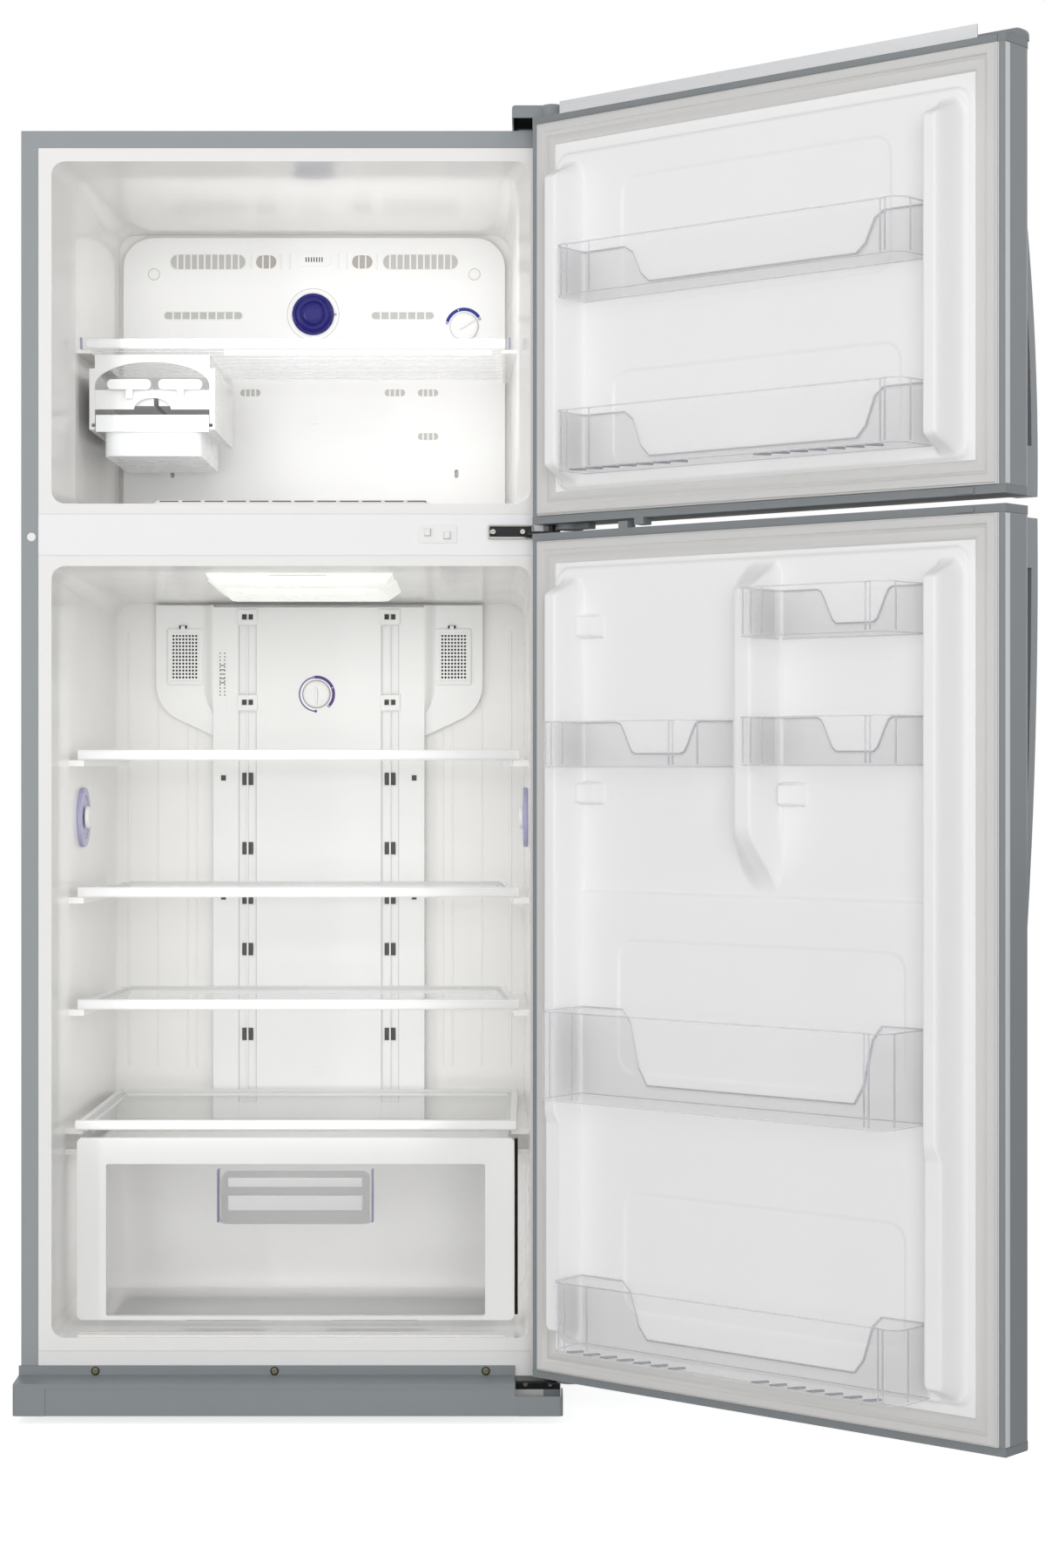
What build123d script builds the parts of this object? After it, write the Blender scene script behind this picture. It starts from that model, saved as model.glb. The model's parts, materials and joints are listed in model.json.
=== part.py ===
from build123d import *
import math
import os

# Top mount refrigerator, in millimetres. The front face of the cabinet is the plane y = 0,
# +Y runs to the back, x = 0 is the middle of the cabinet and z = 0 is the floor.
# Both doors stand open at rest, as far as their stops let them.

# Cabinet shell
CAB_W = 770.0
CAB_D = 659.0
WALL_BASE = 28.0
SHEET = 1.0
FLANGE_W = 24.2
RAIL_TOP = 92.5
FIT = 0.3
SNUG = 0.2

# Openings, from the bottom upwards
SIDE_WALL = 43.2
OPEN_W = CAB_W - 2 * SIDE_WALL
HALF_OPEN = OPEN_W / 2
RIM = 19.0
RIM_MID = 15.0
MULLION_H = 59.0
FRIDGE_H = 1101.5
FREEZER_H = 488.6
OPEN_R = 19.0
FRIDGE_Z0 = RAIL_TOP + RIM
FRIDGE_Z1 = FRIDGE_Z0 + FRIDGE_H
MULLION_Z0 = FRIDGE_Z1 + RIM_MID
MULLION_Z1 = MULLION_Z0 + MULLION_H
FREEZER_Z0 = MULLION_Z1 + RIM_MID
FREEZER_Z1 = FREEZER_Z0 + FREEZER_H
CAB_TOP = FREEZER_Z1 + RIM + FLANGE_W + FIT / 2

# Inner liners
LINER_T = 1.5
REAR_WALL = 69.0
FRIDGE_DEPTH = CAB_D - REAR_WALL
FRIDGE_SIDE_DRAFT = 10.8
FRIDGE_ROOF_DROP = 22.0
FLOOR_RISE = 4.0
FREEZER_DEPTH = FRIDGE_DEPTH - 2
FREEZER_FLARE_Y = 95.0
FREEZER_FLARE = 19.8
FREEZER_SIDE_DRAFT = 18.0
FREEZER_ROOF_DROP = 28.0
REAR_R = 28.0

# Machine bay at the bottom of the back, and the step that it makes in the fridge liner
BAY_Y = CAB_D - 219
BAY_TOP = 318.0
BAY_CHAMFER = 40.0
STEP_Y = BAY_Y - 40
STEP_TOP = BAY_TOP + 34
STEP_CHAMFER = 45.0

# Base frame, kick plate and feet
PAN_Z = 58.0
PAN_T = 2.0
KICK_W = CAB_W + 6
KICK_OUT = 59.0
KICK_LOW = 12.0
KICK_SHELF = 56.0
KICK_TOP = 72.3
KICK_T = 2.5
FOOT_X = CAB_W / 2 - 55
FOOT_Y = 36.0
FOOT_R = 19.0
FOOT_H = 9.0
STUD_R = 5.0
ROLLER_X = CAB_W / 2 - 33
ROLLER_Y = CAB_D - 69
ROLLER_R = 20.0
ROLLER_W = 20.0
AXLE_R = 4.0
RUN = 0.08

# Doors
DOOR_W = CAB_W
DOOR_T = 65.0
DOOR_BACK = -8.0
DOOR_FRONT = DOOR_BACK - DOOR_T
DOOR_R = 16.0
DOOR_LOW = 66.0
DOOR_GAP = 13.0
GAP_LIFT = 4.0
DOOR_OVER = 8.0
CAP_H = 11.0
DOOR_SKIN = 0.8
DOOR_MARGIN = 10.0
MID_Z = (MULLION_Z0 + MULLION_Z1) / 2 + GAP_LIFT
FRIDGE_DOOR = (DOOR_LOW, MID_Z - DOOR_GAP / 2)
FREEZER_DOOR = (MID_Z + DOOR_GAP / 2, CAB_TOP + DOOR_OVER)
DOOR_OPEN = 139.8
CROWN_H = 15.0
CROWN_D = 26.0

# Gaskets and door liners
GASKET_W = 32.0
GASKET_BULB = 15.0
GASKET_OUT = 7.0
GASKET_LIP = 3.5
PLUG_GAP = 7.5
PLUG_GAP_Z = 10.0
DYKE_OUT = HALF_OPEN - 10.8
DYKE_IN = DYKE_OUT - 45
RIDGE_IN = DYKE_IN + 14
RIDGE_OUT = DYKE_OUT - 14
DYKE_OUT_Y = 48.0
LOW_DYKE_Y = 40.0
LOW_DYKE_Z = FRIDGE_Z0 + 328.5
DYKE_LOW_SLOPE = 28.0
DYKE_TOP_SLOPE = 44.0
RIB_FOOT = (-48.0, 24.0)
RIB_RIDGE = (-42.0, -20.0)
RIB_Y = 60.0
RIB_LOW = FRIDGE_Z0 + 650.5
RIB_RIDGE_Z = (RIB_LOW + 85, FRIDGE_Z1 - 67)
FIELD_Y = 5.0
FIELD_TOP = RIB_LOW - 5
SHELL = 2.0

# Hinges, on one vertical line near the right side
PIN_X = CAB_W / 2 - 12
PIN_Y = -36.5
PIN_R = 5.0
PIN_DEEP = 9.2
PIN_SEAT = 9.8
ARM_R = 11.5
ARM_T = 3.2
CLOSER_R = 19.0

# Handles
HANDLE_W = 30.0
HANDLE_X = 38 - DOOR_W / 2
HANDLE_OUT = 52.0
HANDLE_T = 15.0
HANDLE_FOOT = 64.0
CAP_PROUD = 0.6
CAP_INSET = 3.5
FREEZER_HANDLE = 460.0
FRIDGE_HANDLE = 703.0

# Shelves
SHELF_FRONT_W = OPEN_W - 33.6
SHELF_BACK_W = OPEN_W - 77.6
SHELF_Y0 = 140.0
SHELF_Y1 = FRIDGE_DEPTH - 120
SHELF_T = 10.0
SHELF_NOSE = 15.0
SHELF_Z = (FRIDGE_Z0 + 457, FRIDGE_Z0 + 622.5, FRIDGE_Z0 + 825)
GLASS_T = 4.0
LEDGE = 8.0

# Crisper
COVER_W = OPEN_W - 39.6
COVER_Y0 = 91.0
COVER_Y1 = FRIDGE_DEPTH - 35
COVER_Z = FRIDGE_Z0 + 285.5
CRISPER_W = COVER_W - 7
CRISPER_Z0 = FRIDGE_Z0 + 9.5
CRISPER_Z1 = COVER_Z - 11
CRISPER_Y0 = 85.0
CRISPER_FRONT_T = 12.0
TUB_W = CRISPER_W - 37
TUB_BACK = STEP_Y - 12
TUB_T = 2.5

# Freezer fittings
PANEL_Y = FREEZER_DEPTH - 128
PANEL_W = OPEN_W - 80
PANEL_TOP = FREEZER_Z1 - 28
PANEL_R = 48.0
PANEL_T = 2.5
FSHELF_Y0 = 84.0
FSHELF_Y1 = PANEL_Y - 15
FSHELF_FRONT_W = OPEN_W - 55.6
FSHELF_BACK_W = OPEN_W - 77.6
FSHELF_Z = FREEZER_Z0 + 234
FSHELF_NOSE = 17.5

# Twist ice maker, hung under the left end of the freezer shelf
ICE_X0 = 37.8 - HALF_OPEN
ICE_X1 = ICE_X0 + 184
ICE_Y0 = FSHELF_Y0 + 26
ICE_Y1 = FSHELF_Y1 - 75
ICE_LOW = FSHELF_Z - 116
ICE_TOP = FSHELF_Z - 6.3
ICE_WALL = 7.0
BIN_LOW = FSHELF_Z - 154
TRAY_X = (ICE_X0 + 59, ICE_X0 + 134)
TRAY_Z = FSHELF_Z - 66
TRAY_HALF = 34.0
TRUNNION_R = 4.0

# Fridge air duct
DUCT_Y = FRIDGE_DEPTH - 15
DUCT_STEP = 14.0
DUCT_W = 529.0
DUCT_TOP = FRIDGE_Z1 - 25
DUCT_WING_LOW = DUCT_TOP - 168
DUCT_WING_R = 62.0
TOWER_W = 341.0
TOWER_TOP = DUCT_TOP - 212
TOWER_LOW = STEP_TOP + 4
CHANNEL_X = (101.0, 129.0)
SLOT_DROPS = (288, 400, 480, 563, 700)
BRACKET_DROPS = (32, 170)

# Screws and small hinge parts
KICK_SCREW_X = CAB_W / 2 - 106.5
KICK_SCREWS = (-KICK_SCREW_X, -23.0, KICK_SCREW_X)
KICK_SCREW_Z = 64.8
SCREW_R = 2.5
SCREW_END = 1.2
HEAD_R = 4.8
HINGE_X1 = CAB_W / 2 - 1
HINGE_X0 = HINGE_X1 - 63
MID_HINGE_X0 = HINGE_X1 - 102
MID_HINGE_X1 = HINGE_X1 - 38
BOTTOM_LEAF_Z = 46.5
LEAF_T = 3.0

# Plugs, door switches, dials and the freezer fan
PLUG_X = CAB_W / 2 - 14.7
PLUG_Z = MULLION_Z0 + 26.3
PLUG_STEM_R = 3.6
PLUG_R = 6.2
PANEL_PLUG = (253.3, PANEL_TOP - 57.8)
SWITCH_X = (186.0, 232.0)
SWITCH_Z = (MULLION_Z0 + 21, MULLION_Z0 + 40.5)
SWITCH_D = 22.0
BUTTONS = ((195.0, MULLION_Z0 + 33), (223.0, MULLION_Z0 + 28.5))
BUTTON_W = 9.0
BUTTON_H = 10.0
BUTTON_OUT = 7.7
BUTTON_TRAVEL = 4.0
RUNNER_Z = COVER_Z - 31
DIAL_X = 237.0
DIAL_Z = PANEL_TOP - 140.6
DIAL_R = 23.0
SHAFT_R = 4.0
FRIDGE_DIAL_X = -3.6
FRIDGE_DIAL_Z = DUCT_TOP - 144.3
FAN_Z = PANEL_TOP - 72.6

# Door bins: wall, half width, and each one's heights above the floor of its space
BIN_T = 2.5
BIN_R = 24.0
BIN_X = DYKE_IN - 2
FREEZER_BIN_OUT = 74.0
SMALL_BIN_OUT = 107.0
WIDE_BIN_OUT = 110.0
BOTTLE_BIN_OUT = 79.0


def slab(x, y, z):
    """Block between three pairs of coordinates."""
    size = Box(x[1] - x[0], y[1] - y[0], z[1] - z[0])
    return Pos((x[0] + x[1]) / 2, (y[0] + y[1]) / 2, (z[0] + z[1]) / 2) * size


def facing(x, y, z):
    """Plane that faces the front, with its first axis to the right and its second up."""
    return Plane(origin=(x, y, z), x_dir=(1, 0, 0), z_dir=(0, -1, 0))


def front_panel(x, y, z, r):
    """Block with its four corners rounded as seen from the front."""
    place = facing((x[0] + x[1]) / 2, y[0], (z[0] + z[1]) / 2)
    face = place * RectangleRounded(x[1] - x[0], z[1] - z[0], r)
    return extrude(face, -(y[1] - y[0]))


def top_panel(x, y, z, r):
    """Block with its four corners rounded as seen from above."""
    place = Plane((((x[0] + x[1]) / 2), (y[0] + y[1]) / 2, z[0]))
    return extrude(place * RectangleRounded(x[1] - x[0], y[1] - y[0], r), z[1] - z[0])


def rod_x(x, y, z, r):
    """Round bar along X."""
    return Pos((x[0] + x[1]) / 2, y, z) * Rot(0, 90, 0) * Cylinder(r, x[1] - x[0])


def rod_y(x, y, z, r):
    """Round bar along Y."""
    return Pos(x, (y[0] + y[1]) / 2, z) * Rot(90, 0, 0) * Cylinder(r, y[1] - y[0])


def rod_z(x, y, z, r):
    """Round bar along Z."""
    return Pos(x, y, (z[0] + z[1]) / 2) * Cylinder(r, z[1] - z[0])


def side_profile(points, x):
    """Solid with a side view given as (y, z) points, between two x values."""
    place = Plane(origin=(x[0], 0, 0), x_dir=(0, 1, 0), z_dir=(1, 0, 0))
    return extrude(place * make_face(Polyline(*points, close=True)), x[1] - x[0])


def plan_profile(points, z):
    """Solid with a plan view given as (x, y) points, between two z values."""
    place = Plane((0, 0, z[0]))
    return extrude(place * make_face(Polyline(*points, close=True)), z[1] - z[0])


def both_sides(part):
    """A piece and its mirror image across the middle of the cabinet."""
    return part + mirror(part, Plane.YZ)


def swing_open(part):
    """A door piece, turned about the hinge line from closed to its open rest."""
    return part.rotate(Axis((PIN_X, PIN_Y, 0), (0, 0, 1)), DOOR_OPEN)


def section(y, half, z0, z1, r, grow):
    """Rounded cross section of a liner at one depth."""
    place = facing(0, y, (z0 + z1) / 2)
    return place * RectangleRounded(2 * (half + grow), z1 - z0 + 2 * grow, r + grow)


def freezer_space(grow):
    """Inside of the freezer, flared at its mouth, or its outer skin when grown."""
    half = OPEN_W / 2
    back = FREEZER_DEPTH + grow
    flare = half - FREEZER_FLARE
    rear = flare - FREEZER_SIDE_DRAFT
    low = FREEZER_Z0 + FLOOR_RISE
    mid_top = FREEZER_Z1 - FREEZER_ROOF_DROP / 4
    mouth = section(FIT, half, FREEZER_Z0, FREEZER_Z1, OPEN_R, grow)
    middle = section(FREEZER_FLARE_Y, flare, FREEZER_Z0 + 1, mid_top, OPEN_R, grow)
    end = section(back, rear, low, FREEZER_Z1 - FREEZER_ROOF_DROP, REAR_R, grow)
    return loft([mouth, middle], ruled=True) + loft([middle, end], ruled=True)


def fridge_space(grow):
    """Inside of the fridge, stepped over the machine bay, or its outer skin when grown."""
    half = OPEN_W / 2
    back = FRIDGE_DEPTH + grow
    mouth = section(FIT, half, FRIDGE_Z0, FRIDGE_Z1, OPEN_R, grow)
    low = FRIDGE_Z0 + FLOOR_RISE
    top = FRIDGE_Z1 - FRIDGE_ROOF_DROP
    end = section(back, half - FRIDGE_SIDE_DRAFT, low, top, REAR_R, grow)
    y, z = STEP_Y + grow, STEP_TOP - grow
    step = [(y, 0), (y, z - STEP_CHAMFER), (y + STEP_CHAMFER, z), (back + 9, z), (back + 9, 0)]
    return loft([mouth, end], ruled=True) - side_profile(step, (-half - 9, half + 9))


def bay(grow):
    """Open space of the machine bay, or the space with its sheet when grown."""
    y, z = BAY_Y - grow, BAY_TOP + grow
    chamfer = [(y, -9), (y, z - BAY_CHAMFER), (y + BAY_CHAMFER, z), (CAB_D + 9, z), (CAB_D + 9, -9)]
    return side_profile(chamfer, (-CAB_W / 2, CAB_W / 2))


def liner_wall(y, space):
    """Half width of a liner at depth y."""
    if space == "freezer":
        flare = OPEN_W / 2 - FREEZER_FLARE
        run = (y - FREEZER_FLARE_Y) / (FREEZER_DEPTH - FREEZER_FLARE_Y)
        return flare - FREEZER_SIDE_DRAFT * run
    return OPEN_W / 2 - FRIDGE_SIDE_DRAFT * y / FRIDGE_DEPTH


def shelf_plan(front_w, back_w, y0, y1, inset):
    """Corner points of a shelf that narrows towards the back."""
    slope = (front_w - back_w) / 2 / (y1 - y0)
    front = front_w / 2 - inset - slope * inset
    back = back_w / 2 - inset + slope * inset
    return [(-front, y0 + inset), (front, y0 + inset), (back, y1 - inset), (-back, y1 - inset)]


def rail(edge0, edge1, y, z, space):
    """Pair of moulded ledges on a liner's side walls, whose inner edges follow a shelf."""
    wall0 = liner_wall(y[0], space) + LINER_T / 2
    wall1 = liner_wall(y[1], space) + LINER_T / 2
    points = [(wall0, y[0]), (edge0, y[0]), (edge1, y[1]), (wall1, y[1])]
    return both_sides(plan_profile(points, z))


def make_wrapper():
    half = CAB_W / 2
    outer = slab((-half, half), (0, CAB_D - SHEET), (WALL_BASE, CAB_TOP))
    hollow = slab((-half + SHEET, half - SHEET), (SHEET, CAB_D), (0, CAB_TOP - SHEET))
    inner = half - FLANGE_W
    mouth = slab((-inner, inner), (-1, SHEET + 1), (0, CAB_TOP - FLANGE_W))
    plug_hole = rod_y(-PLUG_X, (-1, 2), PLUG_Z, PLUG_STEM_R + FIT)
    return drilled(outer - hollow - mouth - plug_hole)


def make_back_panel():
    half = CAB_W / 2
    sheet = slab((-half, half), (CAB_D - SHEET, CAB_D), (BAY_TOP + SHEET, CAB_TOP))
    inside = slab((-half + 1.2, half - 1.2), (BAY_Y - 5, CAB_D), (PAN_Z + PAN_T, BAY_TOP + 5))
    fold = (bay(SHEET) - bay(0)) & inside
    x, z = half - 85, (BAY_TOP + 102, CAB_TOP - 134)
    emboss = slab((-x, x), (CAB_D - 1, CAB_D + 3), z)
    rib = slab((10 - x, x - 10), (CAB_D - 1, CAB_D + 4), (z[0] + 10, z[1] - 10))
    return sheet + fold + (emboss - rib)


def make_foam():
    half = CAB_W / 2 - SHEET - SNUG
    back = CAB_D - SHEET - SNUG
    low = PAN_Z + PAN_T + SNUG
    block = slab((-half, half), (LINER_T + FIT + SNUG, back), (low, CAB_TOP - SHEET - SNUG))
    skin = LINER_T + SNUG
    pocket = slab(SWITCH_X, (0, SWITCH_D + FIT), SWITCH_Z)
    return block - freezer_space(skin) - fridge_space(skin) - bay(SHEET + SNUG) - pocket


def rim_plate(low, high, z0, z1, hole):
    """Flat plastic rim round an opening."""
    half = CAB_W / 2 - FLANGE_W - FIT
    plate = slab((-half, half), (FIT, FIT + LINER_T), (low + FIT, high - FIT))
    return plate - hole


def make_freezer_liner():
    inside = freezer_space(0)
    shell = freezer_space(LINER_T) - inside
    rim = rim_plate(MULLION_Z1, CAB_TOP - FLANGE_W, FREEZER_Z0, FREEZER_Z1, inside)
    top = FSHELF_Z - FIT
    edge = FSHELF_FRONT_W / 2 - 14
    ledge = rail(edge, edge - 2, (FSHELF_Y0 + 20, FSHELF_Y1 - 5), (top - 4.7, top), "freezer")
    return shell + rim + ledge


def make_fridge_liner():
    inside = fridge_space(0)
    shell = fridge_space(LINER_T) - inside
    rim = rim_plate(RAIL_TOP, MULLION_Z0, FRIDGE_Z0, FRIDGE_Z1, inside)
    part = shell + rim
    y = (SHELF_Y0 + 4, SHELF_Y1 - 4)
    for z in SHELF_Z:
        edges = (SHELF_FRONT_W / 2 - LEDGE, SHELF_BACK_W / 2 - LEDGE)
        part += rail(edges[0], edges[1], y, (z - FIT - 9, z - FIT), "fridge")
    edge = COVER_W / 2 - LEDGE
    part += rail(edge, edge, (COVER_Y0 + 20, COVER_Y1 - 10), (COVER_Z - FIT - 8, COVER_Z - FIT), "fridge")
    edge = TUB_W / 2 + 8
    part += rail(edge, edge, (115, STEP_Y + 9), (RUNNER_Z - 8, RUNNER_Z), "fridge")
    return part


def make_base_frame():
    half = CAB_W / 2 - SHEET - SNUG
    inner = CAB_W / 2 - FLANGE_W - FIT
    pan = slab((-half, half), (SHEET + SNUG, BAY_Y - 3), (PAN_Z, PAN_Z + PAN_T))
    wall = slab((-half, half), (BAY_Y - 5, BAY_Y - 3), (WALL_BASE, PAN_Z + PAN_T))
    floor = slab((-half, half), (BAY_Y - 5, CAB_D - 8), (WALL_BASE, WALL_BASE + PAN_T))
    front = slab((-inner, inner), (0, SHEET + SNUG), (WALL_BASE, RAIL_TOP))
    side = slab((half - PAN_T, half), (SHEET + SNUG, CAB_D - 8), (WALL_BASE, PAN_Z + PAN_T))
    foot_flange = slab((FOOT_X - 30, half), (SHEET + SNUG, 110), (WALL_BASE, WALL_BASE + PAN_T))
    foot_hole = rod_z(FOOT_X, FOOT_Y, (0, 50), STUD_R + FIT)
    y, z = ROLLER_Y, WALL_BASE + 1
    ear = side_profile(
        [(y - 18, z), (y - 8, 13), (y + 8, 13), (y + 18, z)],
        (ROLLER_X + ROLLER_W / 2 + 1, ROLLER_X + ROLLER_W / 2 + 3),
    )
    inner_ear = Pos(-ROLLER_W - 4, 0, 0) * ear
    axle = rod_x((ROLLER_X - ROLLER_W / 2 - 3, ROLLER_X + ROLLER_W / 2 + 3), ROLLER_Y, ROLLER_R, AXLE_R)
    well = slab(
        (ROLLER_X - ROLLER_W / 2 - 1, ROLLER_X + ROLLER_W / 2 + 1),
        (ROLLER_Y - ROLLER_R - 3, ROLLER_Y + ROLLER_R + 3),
        (WALL_BASE - 1, WALL_BASE + PAN_T + 1),
    )
    part = pan + wall + floor + front + both_sides(side + foot_flange)
    part = part - both_sides(foot_hole) - both_sides(well)
    return drilled(part) + both_sides(ear + inner_ear + axle)


def make_kick_plate():
    half = KICK_W / 2
    body = side_profile(
        [(-FIT, KICK_LOW), (-FIT, KICK_TOP), (-FIT - 3, KICK_TOP), (-FIT - 3, KICK_SHELF + 3),
         (-KICK_OUT + 6, KICK_SHELF), (-KICK_OUT, KICK_SHELF - 5), (-KICK_OUT, KICK_LOW)],
        (-half, half),
    )
    ends = body.edges().filter_by(Axis.Z).sort_by(Axis.Y)[:2]
    body = fillet(ends, 6)
    hollow = slab(
        (-half + KICK_T, half - KICK_T), (-KICK_OUT + KICK_T, 5), (KICK_LOW - 5, KICK_SHELF - 6)
    )
    recess = slab((-half + 46, half - 62), (-KICK_OUT - 5, -KICK_OUT + 1.2), (KICK_LOW - 1, KICK_SHELF - 5))
    notch = slab((HINGE_X0 - 1, half + 1), (-KICK_OUT - 1, 5), (40, KICK_TOP + 1))
    part = body - hollow - recess - notch
    for x in KICK_SCREWS:
        part -= rod_y(x, (-6, 2), KICK_SCREW_Z, SCREW_R + FIT)
    return part


def screw(x, y, z):
    """Pan head screw that points into the cabinet."""
    return rod_y(x, (y - 2.2, y), z, HEAD_R) + rod_y(x, (y, SCREW_END), z, SCREW_R)


def screw_places():
    """Where each screw head sits: across, height of the face it bears on, and up."""
    places = [(x, -FIT - 3, KICK_SCREW_Z) for x in KICK_SCREWS]
    places += [(x, -LEAF_T, BOTTOM_LEAF_Z) for x in (HINGE_X0 + 14, HINGE_X1 - 14)]
    return places + [(x, -LEAF_T, MID_Z) for x in (MID_HINGE_X0 + 7, MID_HINGE_X1 - 15)]


def make_screws():
    return Compound(children=[screw(x, y, z) for x, y, z in screw_places()])


def drilled(part):
    """The same sheet with a snug hole for every screw."""
    for x, y, z in screw_places():
        part -= rod_y(x, (-9, 9), z, SCREW_R)
    return part


def make_feet():
    pad = rod_z(FOOT_X, FOOT_Y, (0, FOOT_H), FOOT_R)
    pad = chamfer(pad.edges().sort_by(Axis.Z)[-1:], 2)
    nut = extrude(Plane((FOOT_X, FOOT_Y, WALL_BASE - 6)) * RegularPolygon(9, 6), 6 - FIT)
    foot = pad + nut + rod_z(FOOT_X, FOOT_Y, (FOOT_H, 50), STUD_R)
    return both_sides(foot)


def make_roller(side):
    x = side * ROLLER_X
    wheel = rod_x((x - ROLLER_W / 2, x + ROLLER_W / 2), ROLLER_Y, ROLLER_R, ROLLER_R)
    return wheel - rod_x((x - ROLLER_W, x + ROLLER_W), ROLLER_Y, ROLLER_R, AXLE_R + RUN)


def make_compressor():
    x, y, z = 40.0, BAY_Y + 105, WALL_BASE + PAN_T
    plate = top_panel((x - 110, x + 110), (y - 60, y + 60), (z + 12, z + 16), 12)
    pot = Pos(x, y, z + 90) * Cylinder(78, 148)
    pot = chamfer(pot.edges(), 24)
    part = plate + pot
    for dx in (-90, 90):
        for dy in (-45, 45):
            part += Pos(x + dx, y + dy, z + 6.1) * Cylinder(12, 12.2)
    return part


def make_machine_cover():
    half = CAB_W / 2 - 4
    part = slab((-half, half), (CAB_D - 3.5, CAB_D - 2), (WALL_BASE + PAN_T + 2, BAY_TOP - 1))
    for column in (-1, 1):
        for row in range(7):
            z = 90 + row * 24
            x = column * 190
            part -= front_panel((x - 120, x + 120), (CAB_D - 9, CAB_D + 9), (z, z + 8), 3.9)
    foot = slab((-half, half), (CAB_D - 12, CAB_D - 2), (WALL_BASE + PAN_T, WALL_BASE + PAN_T + 2))
    return part + foot


def make_evaporator():
    part = None
    for i in range(7):
        x = -210 + i * 70
        depth = FREEZER_DEPTH - FIT if i in (0, 6) else FREEZER_DEPTH - 28
        fin = slab((x - 1.5, x + 1.5), (PANEL_Y + 40, depth), (FREEZER_Z0 + 28, FREEZER_Z0 + 288))
        part = fin if part is None else part + fin
    for z in (73, 158, 243):
        part += rod_x((-225, 225), PANEL_Y + 70, FREEZER_Z0 + z, 5)
    return part


def make_fan_motor():
    y = PANEL_Y + 65
    can = rod_y(0, (y, y + 35), FAN_Z, 26)
    arm = slab((-60, 60), (y + 35, FREEZER_DEPTH - FIT), (FAN_Z - 12, FAN_Z + 12))
    return can + arm + rod_y(0, (y - 27, y), FAN_Z, 3)


def make_fan_blades():
    y = PANEL_Y + 51
    hub = rod_y(0, (y - 11, y + 11), FAN_Z, 15)
    part = hub
    for i in range(5):
        blade = Pos(31, 0, 0) * Rot(38, 0, 0) * Box(38, 2, 26)
        part += Pos(0, y, FAN_Z) * Rot(0, i * 72, 0) * blade
    return part - rod_y(0, (y - 20, y + 20), FAN_Z, 3 + RUN)


def hinge_arm(z, x0, y1):
    """Flat arm that runs forward to a rounded end round the pin line."""
    arm = slab((x0, PIN_X + ARM_R), (PIN_Y, y1), z)
    return arm + rod_z(PIN_X, PIN_Y, z, ARM_R)


def make_top_hinge():
    low, high = CAB_TOP, CAB_TOP + DOOR_OVER + 1.3
    base = slab((HINGE_X1 - 59, HINGE_X1), (6, 96), (low, low + ARM_T))
    riser = slab((HINGE_X1 - 39, HINGE_X1), (6, 14), (low, high + ARM_T))
    arm = hinge_arm((high, high + ARM_T), PIN_X - 23, 14)
    pin = rod_z(PIN_X, PIN_Y, (FREEZER_DOOR[1] - PIN_DEEP, high), PIN_R)
    return base + riser + arm + pin


def make_top_hinge_cover():
    z0, z1 = CAB_TOP, CAB_TOP + 28
    x0, x1 = HINGE_X1 - 68, HINGE_X1 + 3
    roof = DOOR_OVER + 1.3

    def body(inset):
        plan = plan_profile(
            [(x0 + inset, -44.5 + inset), (x1 - inset, -44.5 + inset), (x1 - inset, 106 - inset),
             (x0 + inset, 106 - inset)],
            (z0 - inset, z1 - inset),
        )
        nose = rod_z(PIN_X, PIN_Y, (z0 - inset, z1 - inset), 17.5 - inset)
        return plan + nose

    outer = body(0)
    outer = fillet(outer.edges().group_by(Axis.Z)[-1], 6)
    shell = outer - body(2.2)
    return shell - slab((x0 - 20, x1 + 20), (-70, -1), (z0 - 1, z0 + roof))


def make_middle_hinge():
    leaf = front_panel((MID_HINGE_X0, MID_HINGE_X1), (-LEAF_T, 0), (MID_Z - 10, MID_Z + 9.5), 2)
    lip = slab((MID_HINGE_X0, MID_HINGE_X1), (-6.5, 0), (MID_Z - 10, MID_Z - 7.3))
    z = (MID_Z - ARM_T - 1.8, MID_Z - 1.8)
    arm = hinge_arm(z, MID_HINGE_X1 - 8, 0)
    up = rod_z(PIN_X, PIN_Y, (z[1], FREEZER_DOOR[0] + PIN_DEEP), PIN_R)
    down = rod_z(PIN_X, PIN_Y, (FRIDGE_DOOR[1] - PIN_DEEP, z[0]), PIN_R)
    return drilled(leaf) + lip + arm + up + down


def make_bottom_hinge():
    top = DOOR_LOW - 8.5
    leaf = slab((HINGE_X0, HINGE_X1), (-LEAF_T, 0), (38.5, top))
    arm = slab((HINGE_X0, PIN_X + ARM_R), (PIN_Y, 0), (top - ARM_T, top))
    arm += rod_z(PIN_X, PIN_Y, (top - ARM_T, top), ARM_R)
    pin = rod_z(PIN_X, PIN_Y, (top, DOOR_LOW + PIN_DEEP), PIN_R)
    return drilled(leaf) + arm + pin


def make_mullion_cover():
    half = CAB_W / 2 - FLANGE_W - FIT
    strip = slab((-half, half), (0, SHEET), (MULLION_Z0, MULLION_Z1))
    return drilled(strip - slab(SWITCH_X, (-1, 2), SWITCH_Z))


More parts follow.
